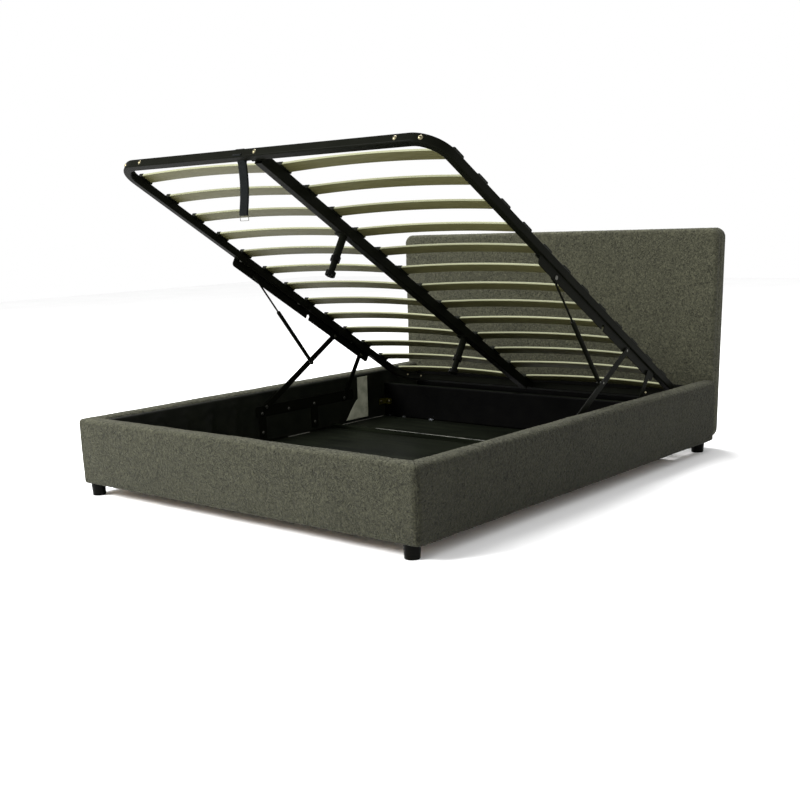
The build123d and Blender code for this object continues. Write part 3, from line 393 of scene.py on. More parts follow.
def birchPly():
    # Bent birch: long grain from each slat's own place, ply lines on the edges, its own tone a slat, and
    # painted shade on the slats' undersides.
    look = birchLook
    material, tree = startMaterial("birchPly")
    grainAt = attributeOf(tree, "grainAt", "Vector")
    tone, edge, under = (attributeOf(tree, name) for name in ("slatTone", "onEdge", "onUnderside"))
    figure = stretched(tree, grainAt, (1.4, 30, 30))
    grain = noiseOf(tree, figure, scale=6.0, detail=6.0, roughness=0.65, distortion=0.6)
    pores = noiseOf(tree, stretched(tree, grainAt, (14, 420, 420)), scale=1.0, roughness=0.6)
    plies = bandsOf(tree, grainAt, "Z", scale=160, Distortion=0.3)
    wood = rampOf(tree, grain, (0.28, look["deep"]), (0.55, look["mid"]), (0.8, look["pale"]))
    pored = multiplied(tree, wood, rampOf(tree, pores, (0.25, (0.78, 0.77, 0.73)), (0.5, grey(1.0))))
    # painted shade darkens the underside
    shaded = mixed(tree, under, pored, look["underside"], "MULTIPLY")
    edged = mixed(tree, edge, shaded, rampOf(tree, plies, (0.3, look["plyDark"]), (0.6, look["plyPale"])))
    slatTone = rampOf(tree, tone, (0.0, (0.86, 0.86, 0.84)), (1.0, (1.1, 1.1, 1.07)))
    return finishMaterial(
        material, BaseColor=multiplied(tree, edged, slatTone), Roughness=0.5, SpecularIORLevel=0.14,
        Normal=bumpOf(tree, pores, distance=0.00025),
    )


def rawTimber(dark, pale):
    material, tree = startMaterial("rawTimber")
    chips = cellsOf(tree, objectPoint(tree, (70, 190, 260)), scale=1.0)
    tone = rampOf(tree, chips.outputs["Color"], (0.2, dark), (0.8, pale))
    normal = bumpOf(tree, chips, distance=0.0005)
    return finishMaterial(material, BaseColor=tone, Roughness=0.85, Normal=normal)


def powderCoat(dark, pale):
    # Black powder coat with fine orange peel.
    material, tree = startMaterial("powderCoat")
    clouds = noiseOf(tree, objectPoint(tree), scale=9, detail=4.0)
    peel = noiseOf(tree, objectPoint(tree), scale=900, detail=2.0, roughness=0.5)
    return finishMaterial(
        material, BaseColor=rampOf(tree, clouds, (0.3, dark), (0.8, pale)),
        Roughness=between(tree, clouds, 0.3, 0.42), SpecularIORLevel=0.012,
        Normal=bumpOf(tree, peel, distance=0.00012),
    )


def zincPlate(name, dark, mid, pale):
    # Passivated zinc, with its cloudy sheen.
    material, tree = startMaterial(name)
    clouds = noiseOf(tree, objectPoint(tree), scale=130, detail=4.0)
    skin = noiseOf(tree, objectPoint(tree), scale=1500, detail=2.0)
    return finishMaterial(
        material, BaseColor=rampOf(tree, clouds, (0.3, dark), (0.6, mid), (0.8, pale)),
        Metallic=1.0, Roughness=0.38, Normal=bumpOf(tree, skin, distance=0.00008),
    )


def groundSteel(dark, pale, lean):
    # Steel ground round a rod that leans.
    material, tree = startMaterial("groundSteel")
    rings = noiseOf(tree, objectPoint(tree, (30, 900, 900), turn=(lean, 0, 0)), scale=1.0)
    tone = rampOf(tree, rings, (0.3, dark), (0.7, pale))
    return finishMaterial(material, BaseColor=tone, Metallic=1.0, Roughness=0.22)


def mouldedPlastic(name, dark, pale, roughness, gloss=0.04):
    # Matt moulded plastic with a fine spark-eroded skin.
    material, tree = startMaterial(name)
    clouds = noiseOf(tree, objectPoint(tree), scale=20)
    skin = noiseOf(tree, objectPoint(tree), scale=1300, detail=2.0)
    return finishMaterial(
        material, BaseColor=rampOf(tree, clouds, (0.3, dark), (0.8, pale)), Roughness=roughness,
        SpecularIORLevel=gloss, Normal=bumpOf(tree, skin, distance=0.0002),
    )


def webbingWeave(dark, pale):
    # Ribbed nylon webbing, woven along its own UV map.
    material, tree = startMaterial("webbingWeave")
    uv = addNode(tree, "ShaderNodeUVMap", uv_map="weave")
    picks = bandsOf(tree, uv, "Y", scale=220, Distortion=0.6)
    woven = maths(tree, "MULTIPLY", bandsOf(tree, uv, "X", scale=130), picks)
    return finishMaterial(
        material, BaseColor=rampOf(tree, woven, (0.05, dark), (0.7, pale)), Roughness=0.72,
        SpecularIORLevel=0.05, SheenWeight=0.01, Normal=bumpOf(tree, woven, distance=0.0005),
    )


def knitBacking(dark, pale):
    # Pale knitted backing of the upholstery, seen on a turned-over strip.
    material, tree = startMaterial("knitBacking")
    point = objectPoint(tree)
    loops = bandsOf(tree, point, "Y", scale=190, Distortion=1.5, DetailScale=3)
    tone = rampOf(tree, noiseOf(tree, point, scale=26, detail=4.0), (0.3, dark), (0.7, pale))
    stripes = rampOf(tree, loops, (0.2, (0.82, 0.82, 0.8)), (0.8, grey(1.05)))
    return finishMaterial(
        material, BaseColor=multiplied(tree, tone, stripes), Roughness=0.9,
        Normal=bumpOf(tree, loops, distance=0.0005),
    )


# Mesh building blocks
hashFactors = {"cell": (73856093, 19349663, 83492791), "seed": 2654435761, "next": 1103515245, "add": 12345}
tiny = 1e-9  # keeps a division by a length away from zero


def makeObject(name, corners, faces, material, smooth=True):
    mesh = bpy.data.meshes.new(name)
    mesh.from_pydata([tuple(c) for c in corners], [], [tuple(f) for f in faces])
    mesh.materials.append(material)
    mesh.polygons.foreach_set("use_smooth", [smooth] * len(mesh.polygons))
    mesh.update()
    return addObject(name, mesh)


def fixNormals(piece):
    # Merges doubles and turns every face outwards.
    work = bmesh.new()
    work.from_mesh(piece.data)
    bmesh.ops.remove_doubles(work, verts=work.verts, dist=1e-6)
    bmesh.ops.recalc_face_normals(work, faces=work.faces)
    work.to_mesh(piece.data)
    work.free()
    piece.data.update()
    return piece


def enter(piece, body, node=None):
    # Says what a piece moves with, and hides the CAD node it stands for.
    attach(piece, body)
    if node:
        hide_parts(node)


def gridFaces(rows, columns):
    # Quads of a grid whose points run column by column inside each row.
    starts = [r * columns + c for r in range(rows - 1) for c in range(columns - 1)]
    return [(s, s + 1, s + 1 + columns, s + columns) for s in starts]


def gridRim(rows, columns):
    # The outer points of a grid, in order round it.
    rim = list(range(columns)) + [r * columns + columns - 1 for r in range(1, rows)]
    rim += [(rows - 1) * columns + c for c in range(columns - 2, -1, -1)]
    return rim + [r * columns for r in range(rows - 2, 0, -1)]


def bandFaces(first, second):
    # Quads between two closed rings of points.
    pairs = [(i, (i + 1) % len(first)) for i in range(len(first))]
    return [(first[i], first[j], second[j], second[i]) for i, j in pairs]


def circle(radius, x, y, count=8):
    turns = np.linspace(0, 2 * math.pi, count + 1)[:-1]
    return [(x + radius * math.cos(a), y + radius * math.sin(a)) for a in turns]


def hashed(cell, seed):
    # Three even random numbers for each whole-numbered cell.
    a, by = cell.astype(np.int64), hashFactors["cell"]
    mixedUp = a[:, 0] * by[0] ^ a[:, 1] * by[1] ^ a[:, 2] * by[2] ^ seed * hashFactors["seed"]
    positive, lowBits, half = 0x7FFFFFFF, 0xFFFFFF, 15
    shares = []
    for _ in range(3):
        mixedUp = (mixedUp * hashFactors["next"] + hashFactors["add"]) & positive
        mixedUp ^= mixedUp >> half
        shares.append((mixedUp & lowBits) / lowBits)
    return np.stack(shares, 1)


def nubs(points, size, seed):
    # Rounded tufts packed at random: 1 on a tuft's top, 0 between tufts.
    far, reach = 9.0, 0.7
    scaled = points / size
    base = np.floor(scaled)
    nearest = np.full(len(points), far)
    for step in np.ndindex(3, 3, 3):
        cell = base + step - 1
        gap = cell + hashed(cell, seed) - scaled
        nearest = np.minimum(nearest, (gap * gap).sum(1))
    return 1 - np.clip(nearest / reach, 0, 1)


def waves(points, length, seed, count=5):
    # Slow uneven waves between -1 and 1.
    shortest, longest, fullTurn = 0.6, 1.5, 6.3
    rng = np.random.default_rng(seed)
    total = np.zeros(len(points))
    for _ in range(count):
        way = rng.normal(size=3)
        way /= np.linalg.norm(way)
        stretch = length * rng.uniform(shortest, longest)
        total += np.sin(points @ way * 2 * math.pi / stretch + rng.uniform(0, fullTurn))
    return total / count


def wavesOnGrid(first, second, length, seed, stretch=1.0):
    # The same waves on a grid, given by two distances in its plane.
    flat = np.stack([first.ravel(), second.ravel() * stretch, np.zeros(first.size)], 1)
    return waves(flat, length, seed).reshape(first.shape)


def shell(name, front, back, material):
    # A closed thin piece between two grids of points.
    rows, columns = front.shape[:2]
    corners = np.concatenate([front.reshape(-1, 3), back.reshape(-1, 3)])
    faces, offset = gridFaces(rows, columns), rows * columns
    faces += [tuple(i + offset for i in reversed(face)) for face in faces]
    rim = gridRim(rows, columns)
    for i, a in enumerate(rim):
        b = rim[(i + 1) % len(rim)]
        faces.append((b, a, a + offset, b + offset))
    return fixNormals(makeObject(name, corners, faces, material))


def extrusion(name, section, stations, finish, lengthways=False):
    # A closed bar along X, or lengthways along Y, with the given section.
    n, count = len(section), len(stations)
    corners = [(across, s, z) if lengthways else (s, across, z) for s in stations for across, z in section]
    faces = [tuple(range(n)), tuple(range((count - 1) * n, count * n))]
    for i in range(count - 1):
        faces += bandFaces(range(i * n, (i + 1) * n), range((i + 1) * n, (i + 2) * n))
    return fixNormals(makeObject(name, corners, faces, finish, smooth=False))


def startTree(name, sizes):
    # A Geometry Nodes tree with one named input for each size; returns it with its two ends.
    tree = bpy.data.node_groups.new(name, "GeometryNodeTree")
    tree.interface.new_socket("Geometry", in_out="INPUT", socket_type="NodeSocketGeometry")
    for label, value in sizes.items():
        kind = "NodeSocketInt" if isinstance(value, int) else "NodeSocketFloat"
        socket = tree.interface.new_socket(label, in_out="INPUT", socket_type=kind)
        socket.default_value = value
    tree.interface.new_socket("Geometry", in_out="OUTPUT", socket_type="NodeSocketGeometry")
    return tree, addNode(tree, "NodeGroupInput").outputs, addNode(tree, "NodeGroupOutput").inputs


def vectorOf(tree, **parts):
    return addNode(tree, "ShaderNodeCombineXYZ", **parts)


def stored(tree, geometry, name, value, kind="FLOAT", domain="POINT"):
    return addNode(
        tree, "GeometryNodeStoreNamedAttribute", data_type=kind, domain=domain, Geometry=geometry,
        Name=name, Value=value,
    )


def named(tree, name, kind="FLOAT"):
    return addNode(tree, "GeometryNodeInputNamedAttribute", data_type=kind, Name=name)


def slatPlaces(tree, given):
    # Points down the platform, one for each pair of slats.
    step = vectorOf(tree, Y=maths(tree, "MULTIPLY", given["Pitch"], -1.0))
    return addNode(tree, "GeometryNodeMeshLine", mode="OFFSET", Count=given["Count"], Offset=step)


def lifted(tree, geometry, across, above):
    # Lays a row on the raised platform.
    start = onPlatform(across, slatFrom["first"], above)
    turn = (-bed["liftAngle"], 0, 0)
    return addNode(tree, "GeometryNodeTransform", Geometry=geometry, Translation=start, Rotation=turn)


def finishTree(tree, geometry, material, end):
    # Real meshes with their finish.
    real = addNode(tree, "GeometryNodeRealizeInstances", Geometry=geometry)
    dressed = addNode(tree, "GeometryNodeSetMaterial", Geometry=real, Material=material)
    join(tree, dressed, end["Geometry"])
    return tree


def grow(name, tree, sizes, points=((0, 0, 0),), edges=(), outward=None):
    # Runs a tree on a guide mesh and keeps the result as a plain mesh.
    guide = bpy.data.meshes.new(name + "Guide")
    guide.from_pydata(points, edges, [])
    if outward is not None:
        layer = guide.attributes.new("outward", "FLOAT_VECTOR", "POINT")
        layer.data.foreach_set("vector", np.array(outward, float).ravel())
    carrier = addObject(name + "Guide", guide)
    modifier = carrier.modifiers.new(name, "NODES")
    modifier.node_group = tree
    for item in tree.interface.items_tree:
        if item.in_out == "INPUT" and item.name in sizes:
            modifier[item.identifier] = sizes[item.name]
    evaluated = carrier.evaluated_get(bpy.context.evaluated_depsgraph_get())
    mesh = bpy.data.meshes.new_from_object(evaluated)
    mesh.name = name
    carrier.modifiers.remove(modifier)
    bpy.data.objects.remove(carrier)
    return addObject(name, mesh)


# Bowed slats
slats = {
    "Count": 13,
    "Pitch": 0.150,
    "Width": 0.053,
    "Thickness": 0.008,
    "Bow": 0.014,
    "Edge Round": 0.0021,
    "Seed": 7,
}
slatFrom = {
    "first": 0.051,
    "bottom": 0.0354,
    "edgeShare": 0.93,
    "bowPoints": 33,
    "edgePoints": 4,
    "grainShifts": (9.0, 3.0),  # how far a slat's tone moves its grain, along and across
}


def slatTree(sizes):
    # A flat strip swept along a bowed path, set out in a row down the platform.
    tree, given, end = startTree("bowedSlats", sizes)
    middle = maths(tree, "MULTIPLY", maths(tree, "ADD", given["Inner"], given["Outer"]), 0.5)
    bow = addNode(
        tree, "GeometryNodeCurveArc", mode="POINTS", Resolution=slatFrom["bowPoints"],
        Start=vectorOf(tree, X=given["Inner"]), Middle=vectorOf(tree, X=middle, Z=given["Bow"]),
        End=vectorOf(tree, X=given["Outer"]),
    )
    path = stored(tree, bow, "run", addNode(tree, "GeometryNodeSplineParameter").outputs["Length"])
    section = addNode(
        tree, "GeometryNodeCurvePrimitiveQuadrilateral", Width=given["Width"], Height=given["Thickness"],
    )
    rounded = addNode(
        tree, "GeometryNodeFilletCurve", mode="POLY", Curve=section, Radius=given["Edge Round"],
        Count=slatFrom["edgePoints"],
    )
    place = addNode(tree, "GeometryNodeInputPosition")
    profile = stored(tree, rounded, "section", place, "FLOAT_VECTOR")
    swept = addNode(tree, "GeometryNodeCurveToMesh", Curve=path, ProfileCurve=profile, FillCaps=True)
    laid = addNode(tree, "GeometryNodeInstanceOnPoints", Points=slatPlaces(tree, given), Instance=swept)
    chance = addNode(tree, "FunctionNodeRandomValue", data_type="FLOAT", Seed=given["Seed"])
    toned = stored(tree, laid, "slatTone", chance, domain="INSTANCE")
    real = addNode(tree, "GeometryNodeRealizeInstances", Geometry=toned)
    parts = addNode(tree, "ShaderNodeSeparateXYZ", Vector=named(tree, "section", "FLOAT_VECTOR"))
    tone = named(tree, "slatTone")
    shifts = [maths(tree, "MULTIPLY", tone, shift) for shift in slatFrom["grainShifts"]]
    along = maths(tree, "ADD", named(tree, "run"), shifts[0])
    across = maths(tree, "ADD", parts.outputs["X"], shifts[1])
    grain = vectorOf(tree, X=along, Y=across, Z=parts.outputs["Y"])
    grained = stored(tree, real, "grainAt", grain, "FLOAT_VECTOR")
    reach = maths(tree, "DIVIDE", maths(tree, "ABSOLUTE", parts.outputs["X"]), given["Width"])
    onEdge = maths(tree, "GREATER_THAN", maths(tree, "MULTIPLY", reach, 2.0), slatFrom["edgeShare"])
    edged = stored(tree, grained, "onEdge", onEdge)
    below = maths(tree, "GREATER_THAN", parts.outputs["Y"], 0.0)  # the section's own Y points down here
    # marks the underside, where shade is painted
    marked = stored(tree, edged, "onUnderside", below)
    row = lifted(tree, marked, 0, slatFrom["bottom"] + slats["Thickness"] / 2)
    return finishTree(tree, row, finishes["slat_wood"], end)


def makeSlats():
    for side in ("left", "right"):
        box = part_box("slats_" + side)
        inner, outer = box[0][0], box[1][0]
        if side == "left":
            inner += holder["setIn"]
        else:
            outer -= holder["setIn"]
        sizes = {**slats, "Inner": inner, "Outer": outer}
        enter(grow(side + "Slats", slatTree(sizes), sizes), "platform", "slats_" + side)


# Plastic slat holders
holder = {
    "width": 0.0575,
    "height": 0.0152,
    "reach": 0.0225,
    "wall": 0.0025,
    "mouthWidth": 0.0538,
    "mouthLow": 0.0024,
    "mouthHigh": 0.0136,
    "bevel": 0.0036,
    "setIn": 0.012,
}


def holderShape(name):
    # A sleeve closed and rounded at X 0, and open at its far end.
    half, high, wall, reach = holder["width"] / 2, holder["height"], holder["wall"], holder["reach"]
    mouth, low, top = holder["mouthWidth"] / 2, holder["mouthLow"], holder["mouthHigh"]
    outside = ((-half, 0), (half, 0), (half, high), (-half, high))
    inside = ((-mouth, low), (mouth, low), (mouth, top), (-mouth, top))
    corners = [(x, y, z) for x in (0, reach) for y, z in outside]
    corners += [(x, y, z) for x in (wall, reach) for y, z in inside]
    closed, front, back, rim = (range(k, k + 4) for k in (0, 4, 8, 12))
    faces = [closed, back]
    for quads in zip(bandFaces(closed, front), bandFaces(front, rim), bandFaces(back, rim)):
        faces += quads
    made = makeObject(name, corners, faces, finishes["holderPlastic"], smooth=False)
    work = bmesh.new()
    work.from_mesh(made.data)
    bmesh.ops.recalc_face_normals(work, faces=work.faces)
    ends = [e for e in work.edges if all(v.index < 4 for v in e.verts) and any(v.co.z > 0 for v in e.verts)]
    along = [e for e in work.edges if all(v.index < 8 and v.co.z > 0 and v.co.y != 0 for v in e.verts)]
    along = [e for e in along if abs(e.verts[0].co.x - e.verts[1].co.x) > wall]
    bmesh.ops.bevel(work, geom=ends + along, offset=holder["bevel"], segments=3, profile=0.5, affect="EDGES")
    work.to_mesh(made.data)
    work.free()
    return fixNormals(made)


def holderTree(shape, across, sizes):
    # A row of sleeves down the platform, one or two at each slat's place.
    tree, given, end = startTree("slatHolders", sizes)
    ways = addNode(
        tree, "GeometryNodeDuplicateElements", domain="POINT", Geometry=slatPlaces(tree, given),
        Amount=given["Ways"],
    )
    turn = maths(tree, "MULTIPLY", ways.outputs["Duplicate Index"], math.pi)
    turned = vectorOf(tree, Z=maths(tree, "ADD", turn, given["First Turn"]))
    model = addNode(tree, "GeometryNodeObjectInfo", Object=shape).outputs["Geometry"]
    laid = addNode(tree, "GeometryNodeInstanceOnPoints", Points=ways, Instance=model, Rotation=turned)
    return finishTree(tree, lifted(tree, laid, across, bed["tube"]), finishes["holderPlastic"], end)


def makeHolders():
    half = bed["platformHalf"] - holder["setIn"]
    for name, node, across, ways, turn in (
        ("leftHolders", "slat_holders_left", -half, 1, 0.0),
        ("rightHolders", "slat_holders_right", half, 1, math.pi),
        ("centreHolders", "centre_slat_holders", 0.0, 2, 0.0),
    ):
        shape = holderShape(name + "Shape")
        sizes = {"Count": slats["Count"], "Pitch": slats["Pitch"], "Ways": ways, "First Turn": turn}
        made = grow(name, holderTree(shape, across, sizes), sizes)
        bpy.data.objects.remove(shape)
        enter(made, "platform", node)


# Staples of the headboard's back cloth
staples = {"Spacing": 0.055, "Turn Jitter": 0.22, "Seed": 31}
stapleWire = {
    "crown": 0.0105,
    "leg": 0.0016,
    "thickness": 0.0006,
    "width": 0.0012,
    "inset": 0.016,
    "standOff": 0.0017,
}


def stapleShape():
    # A flat wire bent down at both ends.
    half, leg, t = stapleWire["crown"] / 2, stapleWire["leg"], stapleWire["thickness"]
    outer = [(-half, -leg), (-half, 0), (-half + t, t), (half - t, t), (half, 0), (half, -leg)]
    inner = [(half - t, -leg), (half - t, 0), (half - 1.4 * t, 0.2 * t)]
    inner += [(-x, z) for x, z in reversed(inner)]
    sides = (-stapleWire["width"] / 2, stapleWire["width"] / 2)
    return extrusion("stapleShape", outer + inner, sides, finishes["rod_steel"], lengthways=True)


def stapleTree(shape):
    # Staples set out along a path, each laid on the surface and a little askew.
    tree, given, end = startTree("stapleRow", staples)
    line = addNode(tree, "GeometryNodeMeshToCurve", Mesh=given["Geometry"])
    spaced = addNode(
        tree, "GeometryNodeResampleCurve", mode="LENGTH", Curve=line, Length=given["Spacing"],
    )
    tangent = addNode(tree, "GeometryNodeInputTangent")
    along = addNode(tree, "FunctionNodeAlignRotationToVector", axis="X", Vector=tangent)
    flat = addNode(
        tree, "FunctionNodeAlignRotationToVector", axis="Z", pivot_axis="X", Rotation=along,
        Vector=named(tree, "outward", "FLOAT_VECTOR"),
    )
    chance = addNode(
        tree, "FunctionNodeRandomValue", data_type="FLOAT", Max=given["Turn Jitter"], Seed=given["Seed"],
        Min=maths(tree, "MULTIPLY", given["Turn Jitter"], -1.0),
    )
    turned = addNode(
        tree, "FunctionNodeRotateRotation", rotation_space="LOCAL", Rotation=flat,
        RotateBy=vectorOf(tree, Z=chance),
    )
    model = addNode(tree, "GeometryNodeObjectInfo", Object=shape).outputs["Geometry"]
    laid = addNode(tree, "GeometryNodeInstanceOnPoints", Points=spaced, Instance=model, Rotation=turned)
    return finishTree(tree, laid, finishes["rod_steel"], end)


def makeStaples():
    inset, corner = stapleWire["inset"], headboard["corner"]
    wide, low, high = headboard["halfWidth"] - inset, headboard["low"] + inset, headboard["high"] - inset
    y = bed["backY"] + stapleWire["standOff"]
    path = [(-wide, low), (wide, low), (wide, high - corner), (wide - corner, high), (corner - wide, high)]
    points = [(x, y, z) for x, z in path + [(-wide, high - corner)]]
    edges = [(i, (i + 1) % len(points)) for i in range(len(points))]
    shape = stapleShape()
    made = grow("backStaples", stapleTree(shape), staples, points, edges, [(0, 1, 0)] * len(points))
    bpy.data.objects.remove(shape)
    enter(made, "bed")


# Upholstered rails
railCover = {
    "step": 0.0046,
    "cornerRadius": 0.016,
    "mitreShare": 0.293,  # how far a round corner draws in from a square one, as a share of its radius
    "seamDip": 0.0015,
    "faceBulge": 0.0025,
    "tuftSize": 0.0115,
    "tuftHeight": 0.0018,
    "tuftMean": 0.55,
    "unevenness": 0.0016,
    "waveLength": 0.22,
    "crownPower": 2.7,
    "hem": 0.008,
    "hemPoints": 6,
    "facePoints": 40,
    "boardStep": 0.02,
    "calmEnd": 0.02,
    "calmShare": 0.25,
    "endCentre": (0.03, 0.17),
}


def tufts(points, seed):
    # How far the pile stands above or below its mean.
    return railCover["tuftHeight"] * (nubs(points, railCover["tuftSize"], seed) - railCover["tuftMean"])


def resample(points, step, keepCorners=False):
    # Points spaced evenly along a polyline, and its own corners too where they are kept.
    points = np.array(points, float)
    runs = np.linalg.norm(np.diff(points, axis=0), axis=1)
    along = np.concatenate([[0], np.cumsum(runs)])
    count = max(2, int(round(along[-1] / step)) + 1)
    at = np.linspace(0, along[-1], count)
    if keepCorners:
        at = np.union1d(at, along)
    return np.stack([np.interp(at, along, points[:, k]) for k in range(points.shape[1])], 1)


def railProfile():
    # Closed section of a padded rail: depth from its outer face, height, and how soft it is there.
    t, low, top = bed["railThickness"], bed["underside"], bed["boardTop"]
    hem, half, count = railCover["hem"], t / 2, railCover["facePoints"]
    turns = np.linspace(0, math.pi / 2, railCover["hemPoints"])
    outer = [(hem * (1 - math.sin(a)), low + hem * (1 - math.cos(a))) for a in turns]
    rise = bed["crown"] - top
    for height in np.linspace(low + hem, top, count)[1:]:
        share = (height - low - hem) / (top - low - hem)
        outer.append((-railCover["faceBulge"] * math.sin(math.pi * share), height))
    power = 2 / railCover["crownPower"]
    for a in np.linspace(0, math.pi, count)[1:]:
        c, s = math.cos(a), math.sin(a)
        outer.append((half - math.copysign(abs(c) ** power, c) * half, top + rise * abs(s) ** power))
    soft = resample(outer, railCover["step"])
    weight = np.ones(len(soft))
    weight[-1] = weight[0] = 0
    notch = t - bed["boardThickness"]
    inner = [(t, top), (notch, top), (notch, low), (hem, low)]
    hard = resample(inner, railCover["boardStep"], keepCorners=True)[1:-1]
    return np.concatenate([soft, hard]), np.concatenate([weight, np.zeros(len(hard))])


def sideNormals(path):
    # Normals of a closed path, to the left of its way.
    along = np.roll(path, -1, 0) - np.roll(path, 1, 0)
    normal = np.stack([-along[:, 1], along[:, 0]], 1)
    return normal / np.maximum(np.linalg.norm(normal, axis=1, keepdims=True), tiny)


def padRun(name, length, mitres, start, runWay, inWay, seed, finish):
    # A padded rail as long as length at its outer face, with its mitred ends, from start along runWay.
    def placed(points):
        ground = np.array(start) + points[:, :1] * runWay + points[:, 1:2] * inWay
        return np.concatenate([ground, points[:, 2:]], 1)

    profile, weight = railProfile()
    normal, points = sideNormals(profile), len(profile)
    radius = railCover["cornerRadius"]
    share = np.clip(1 - profile[:, 0] / radius, 0, 1)
    cut = np.maximum(profile[:, 0], 0) + (railCover["mitreShare"] * radius + railCover["seamDip"]) * share
    starts = cut if mitres[0] else np.zeros(points)
    ends = length - cut if mitres[1] else np.full(points, length)
    columns = int(length / railCover["step"])
    rings = []
    for k in range(columns + 1):
        along = starts + (ends - starts) * k / columns
        inset = np.zeros(points)
        for mitred, gap in zip(mitres, (along - starts, ends - along)):
            if mitred:
                inset = np.maximum(inset, np.clip(1 - gap / radius, 0, 1) ** 2)
        depth = profile[:, 0] + inset * (cut - profile[:, 0])
        rings.append(np.stack([along, depth, profile[:, 1]], 1))
    flat = np.concatenate(rings)
    at = placed(flat)
    lift = tufts(at, seed) + railCover["unevenness"] * waves(at, railCover["waveLength"], seed)
    edge = np.minimum(flat[:, 0], length - flat[:, 0]) if all(mitres) else flat[:, 0]
    lift *= np.tile(weight, columns + 1) * np.clip(edge / railCover["calmEnd"], railCover["calmShare"], 1)
    flat[:, 1:] += lift[:, None] * np.tile(normal, (columns + 1, 1))
    faces = []
    for k in range(0, columns * points, points):
        faces += bandFaces(range(k, k + points), range(k + points, k + 2 * points))
    deep, high = railCover["endCentre"]
    centres = [[starts[0] + deep * mitres[0], deep, high], [ends[0] - deep * mitres[1], deep, high]]
    last = columns * points
    for i in range(points):
        j = (i + 1) % points
        faces += [(j, i, len(flat)), (last + i, last + j, len(flat) + 1)]
    corners = placed(np.concatenate([flat, centres]))
    return fixNormals(makeObject(name, corners, faces, finishes[finish]))


def makeRails():
    half, footY, length = bed["halfWidth"], bed["footY"], bed["headY"] - bed["footY"]
    left, right = (-half, footY), (half, footY)
    for name, node, run, mitres, start, runWay, inWay, seed, finish in (
        ("footPad", "foot_panel_cover", 2 * half, (1, 1), left, (1, 0), (0, 1), 11, "upholstery"),
        ("leftPad", "side_rail_cover_left", length, (1, 0), left, (0, 1), (1, 0), 12, "sideCloth"),
        ("rightPad", "side_rail_cover_right", length, (1, 0), right, (0, 1), (-1, 0), 13, "sideCloth"),
    ):
        pad = padRun(name, run, mitres, start, runWay, inWay, seed, finish)
        enter(pad, "bed", node)


# Headboard
headboard = {
    "halfWidth": 0.860,
    "low": 0.050,
    "high": 0.960,
    "corner": 0.042,
    "edge": 0.013,
    "seamAt": 0.030,
    "seamDepth": 0.0045,
    "seamWidth": 0.007,
    "backEdge": 0.006,
    "backRound": (0.002, 0.0015),
    "margin": 0.014,
    "step": 0.0052,
    "sideStepShare": 0.9,
    "swell": 0.004,
    "swellReach": 0.25,
    "flatTo": 0.287,
    "flatFade": 0.045,
    "flatPileShare": 0.3,
    "waveLength": 0.3,
    "seed": 14,
}


def roundCorners(x, z, wide, tall, radius):
    # Draws a rectangle's corners in to a radius: the points, their ways out and their gaps to the edge.
    nearX, nearZ = np.clip(x, radius - wide, wide - radius), np.clip(z, radius - tall, tall - radius)
    outX, outZ = x - nearX, z - nearZ
    square = np.maximum(np.abs(outX), np.abs(outZ))
    length = np.maximum(np.sqrt(outX * outX + outZ * outZ), tiny)
    inside = np.minimum(wide - np.abs(x), tall - np.abs(z))
    gap = np.where((np.abs(outX) > 0) & (np.abs(outZ) > 0), radius - square, inside)
    way = np.stack([outX / length, np.zeros(len(x)), outZ / length], 1)
    scale = square / length
    return nearX + outX * scale, nearZ + outZ * scale, way, gap


def headboardCorners(x, z):
    # The same about the headboard's own middle.
    middle, tall = (headboard["low"] + headboard["high"]) / 2, (headboard["high"] - headboard["low"]) / 2
    x, z, way, gap = roundCorners(x, z - middle, headboard["halfWidth"], tall, headboard["corner"])
    return x, z + middle, way, gap


